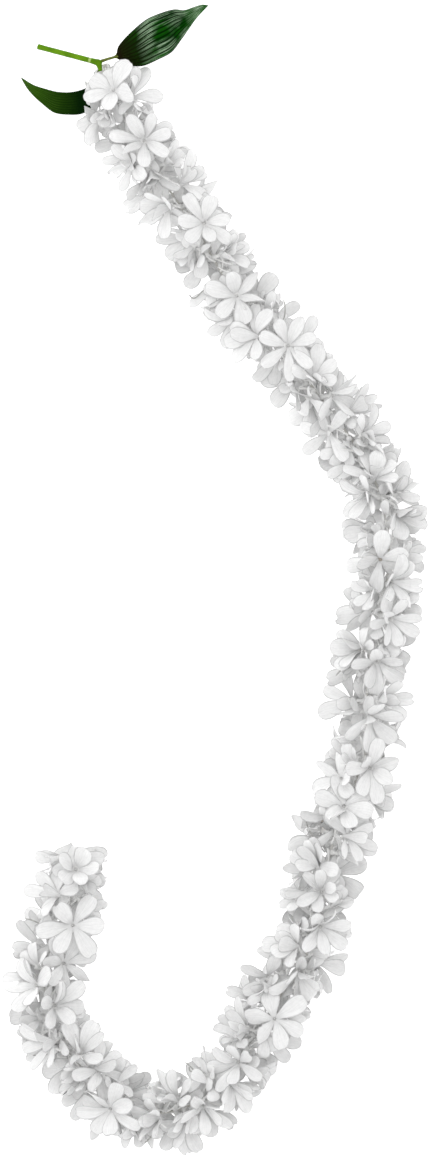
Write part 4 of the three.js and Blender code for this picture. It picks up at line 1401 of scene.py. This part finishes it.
# Single petals of the blooms that stay hidden close the gaps through which the table would
# show: one is laid wherever nothing lies over a point within reach of the string
GAP_STEPS = (0.1, 0.43, 0.77)
GAP_REACH = 22
GAP_SPACING = 2
GAP_TRIES = 16
GAP_WHIMS = 2
GAP_HEIGHTS = (2, 32)
GAP_ROOTS = (-0.3, 1.3)
GAP_PAST = (3, 8)
GAP_ASIDE = (0, 0.5)
GAP_LENGTHS = (11, 19)
GAP_WIDTHS = (7, 10)
GAP_ELEVATIONS = (-4, 8)
GAP_TILT = 0.7
GAP_TWIST = 20


def lies_open(point):
    """Whether the table can be seen from above at a point."""
    inside = (lying["lows"][:, :2] < point[:2]) & (lying["highs"][:, :2] > point[:2])
    above = (point[0], point[1], 100)
    over = np.nonzero(np.all(inside, axis=1))[0]
    return not any(lying["blades"][other].ray_cast(above, (0, 0, -1))[0] for other in over)


gap_petals = 0
for number in range(PAIR_COUNT):
    start, span, tangent, beside = stretch_of(number)
    for along in GAP_STEPS:
        for across in np.arange(-GAP_REACH, GAP_REACH + 0.1, GAP_SPACING):
            point = start + span * along + beside * across
            in_notch = np.any(np.linalg.norm(notches - point[:2], axis=1) < notch_radii)
            if in_notch or not lies_open(point):
                continue
            for _ in range(GAP_TRIES):
                goal = np.array([point[0], point[1], chance.uniform(*GAP_HEIGHTS)])
                root = start + span * chance.uniform(*GAP_ROOTS)
                root = root + beside * across * chance.uniform(*GAP_ASIDE)
                way = unit(goal - root)
                facing = UP + beside * swing(GAP_TILT)
                facing = square_to(facing + tangent * swing(GAP_TILT), way)
                length = float(np.linalg.norm(goal - root)) + chance.uniform(*GAP_PAST)
                length = max(min(length, GAP_LENGTHS[1]), GAP_LENGTHS[0])
                bloom = bloom_at(root, tangent, way, root, facing, way)
                petal = {
                    "azimuth": 0, "sway": 0,
                    "twist": swing(GAP_TWIST), "width": chance.uniform(*GAP_WIDTHS),
                }
                elevation = chance.uniform(*GAP_ELEVATIONS)
                laid, crossed = best_laid(bloom, petal, length, elevation, chance, GAP_WHIMS)
                if has_room(laid, crossed):
                    add_petal(number, laid)
                    gap_petals += 1
                    break
print("petals", petals_found, "left out", petals_left_out, "crossed", petals_crossed)
print("tips left open", len(rim_tips), "side petals", side_petals, "gap petals", gap_petals)

# Slim spent tubes lie along the string in the gaps between the blooms, and a few fine
# threads stick out of the sides, some of them hooked
STALK_SIDES = 5
STALK_SPOT = 0.4
SPENT_TUBES = 4
SPENT_ALONG = (0.5, 1)
SPENT_RISES = (0.05, 0.8)
SPENT_ASIDE = 0.7
SPENT_SAG = (0.5, 2)
SPENT_REACH = (9, 17)
SPENT_RADII = (0.45, 0.75)
SPENT_SWELL = (1.5, 1.1, 0.9, 0.95, 1.1, 1.5, 0.7)
THREADS_PX = [
    ((209, 287), (202.6, 291), (196, 297.5), (192, 298), (189, 294.5)),
    ((205, 1082), (196, 1073), (191, 1067), (185, 1062)),
    ((200, 1078), (194, 1072), (190, 1071), (189, 1067)),
]
THREAD_HEIGHT = 24
THREAD_RADIUS = 0.5
THREAD_STEPS = 12
THREAD_REACH = (23, 29)
THREAD_HOOK = (2, 7)
THREAD_SLANT = 0.8
THREAD_ARCH = 4
THREAD_ARCH_RATE = 2.4
LOOSE_THREADS = 6


def slim_stalk(path, radii):
    """The corners, faces and map of a slim stalk along a path, closed at both ends."""
    corners, faces, spots = [], [], []
    for ring, (place, axis, radius) in enumerate(zip(path, np.gradient(path, axis=0), radii)):
        axis = unit(axis)
        first = square_to(np.array([0.31, 0.17, 0.93]), axis)
        second = np.cross(axis, first)
        for side in range(STALK_SIDES):
            turn = 2 * math.pi * side / STALK_SIDES
            corners.append(place + (first * math.cos(turn) + second * math.sin(turn)) * radius)
            if ring < len(path) - 1:
                ring_corners = quad(ring, side)
                faces.append([row * STALK_SIDES + way % STALK_SIDES for row, way in ring_corners])
                spots.append([(side / STALK_SIDES, STALK_SPOT)] * 4)
    last = (len(path) - 1) * STALK_SIDES
    faces += [[last + side for side in range(STALK_SIDES)], list(range(STALK_SIDES))[::-1]]
    spots += [[(0.0, STALK_SPOT)] * STALK_SIDES] * 2
    return np.array(corners), faces, spots


for number in range(PAIR_COUNT):
    start, span, tangent, beside = stretch_of(number)
    for _ in range(SPENT_TUBES):
        root = start + span * chance.random()
        way = tangent * chance.choice((-1, 1)) * chance.uniform(*SPENT_ALONG)
        way = unit(way + UP * chance.uniform(*SPENT_RISES) + beside * swing(SPENT_ASIDE))
        sag = square_to(beside * swing(1) + UP * swing(1), way) * chance.uniform(*SPENT_SAG)
        reach = chance.uniform(*SPENT_REACH)
        path = [
            root + way * reach * share + sag * math.sin(math.pi * share)
            for share in np.linspace(0, 1, len(SPENT_SWELL))
        ]
        slim = chance.uniform(*SPENT_RADII)
        stalk, faces, spots = slim_stalk(path, [slim * size for size in SPENT_SWELL])
        if not strays(stalk):
            pair_parts[number].append((stalk, faces, spots, 1.0, 1))

loose = [[at_pixel(x, y, THREAD_HEIGHT) for x, y in thread] for thread in THREADS_PX]
for number in chance.sample(range(2, PAIR_COUNT - 1), LOOSE_THREADS):
    start, _, tangent, beside = stretch_of(number)
    beside = beside * chance.choice((-1, 1))
    way = unit(beside + tangent * swing(THREAD_SLANT))
    side_way = np.cross(UP, way) * chance.choice((-1, 1))
    reach, hook = chance.uniform(*THREAD_REACH), chance.uniform(*THREAD_HOOK)
    loose.append([
        start + way * reach * share + side_way * hook * share ** 4
        + UP * THREAD_ARCH * math.sin(THREAD_ARCH_RATE * share)
        for share in np.linspace(0.15, 1, 8)
    ])
thread_radii = [THREAD_RADIUS] * (THREAD_STEPS - 1) + [THREAD_RADIUS / 2]
for path in loose:
    nearest = min(
        range(PAIR_COUNT), key=lambda number: np.linalg.norm(string_corners[number] - path[0]),
    )
    smooth = [smooth_through(path, share) for share in np.linspace(0, 1, THREAD_STEPS)]
    stalk, faces, spots = slim_stalk(smooth, thread_radii)
    pair_parts[nearest].append((stalk, faces, spots, 1.0, 2))

# Each pair's parts made one piece, with the map and the tones that its finishes read
for number, parts in enumerate(pair_parts):
    corners, faces, spots, tones, skins = [], [], [], [], []
    filled = 0
    for laid, own_faces, own_map, shade, skin in parts:
        corners.append(laid)
        faces += [[filled + corner for corner in face] for face in own_faces]
        for face_map in own_map:
            spots += face_map
        tones += [shade] * len(laid)
        skins += [skin] * len(own_faces)
        filled += len(laid)
    name = f"blooms_{number + 1:02d}"
    mesh = bpy.data.meshes.new(name)
    mesh.from_pydata((np.concatenate(corners) * MM).tolist(), [], faces)
    uv_map = mesh.uv_layers.new(name="petal_map")
    uv_map.data.foreach_set("uv", np.array(spots, np.float32).ravel())
    tone_of = mesh.attributes.new("tone", "FLOAT", "POINT")
    tone_of.data.foreach_set("value", np.array(tones, np.float32))
    for skin in (petal_skin, tube_skin, thread_skin):
        mesh.materials.append(skin)
    mesh.polygons.foreach_set("material_index", skins)
    mesh.update()
    blooms = placed(name, mesh)
    pick(blooms)
    bpy.ops.object.shade_smooth_by_angle(angle=math.radians(PETAL_CREASE))
    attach(blooms, "root")
    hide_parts(f"bloom_pair_{number + 1:02d}")


# The table and the light. A plain white tabletop that gives off some light of its own, to
# stay as white as the page, one broad soft window of light over the upper left of it, and
# an even white room round it.
TABLE_SIZE = 60.0
TABLE_TONE = (0.93, 0.93, 0.93, 1)
TABLE_GLOW = 0.62
KEY_POWER = 9.0
KEY_SIZE = 1.6
KEY_PLACE = (-0.45, 0.5, 1.7)
ROOM_LIGHT = 0.85
WHITE = (1, 1, 1, 1)

bpy.ops.object.select_all(action="DESELECT")
bpy.ops.mesh.primitive_plane_add(size=TABLE_SIZE, location=(0, 0, 0))
table = bpy.context.object
table.name = "table"
table_top, _, shader, _ = finish_nodes("table_top")
shader.inputs["Base Color"].default_value = TABLE_TONE
shader.inputs["Roughness"].default_value = 0.9
shader.inputs["Specular IOR Level"].default_value = 0.0
shader.inputs["Emission Color"].default_value = WHITE
shader.inputs["Emission Strength"].default_value = TABLE_GLOW
clad(table, table_top)

key = placed("key_light", bpy.data.lights.new("key_light", "AREA"))
key.data.size = KEY_SIZE
key.data.energy = KEY_POWER
key.location = KEY_PLACE
aim = page_middle - np.array(KEY_PLACE)
tilt = math.atan2(math.hypot(aim[0], aim[1]), -aim[2])
key.rotation_euler = (tilt, 0, math.atan2(aim[1], aim[0]) - math.pi / 2)
key.visible_camera = False

room = bpy.data.worlds.new("room")
bpy.context.scene.world = room
room.use_nodes = True
background = room.node_tree.nodes["Background"]
background.inputs["Color"].default_value = WHITE
background.inputs["Strength"].default_value = ROOM_LIGHT
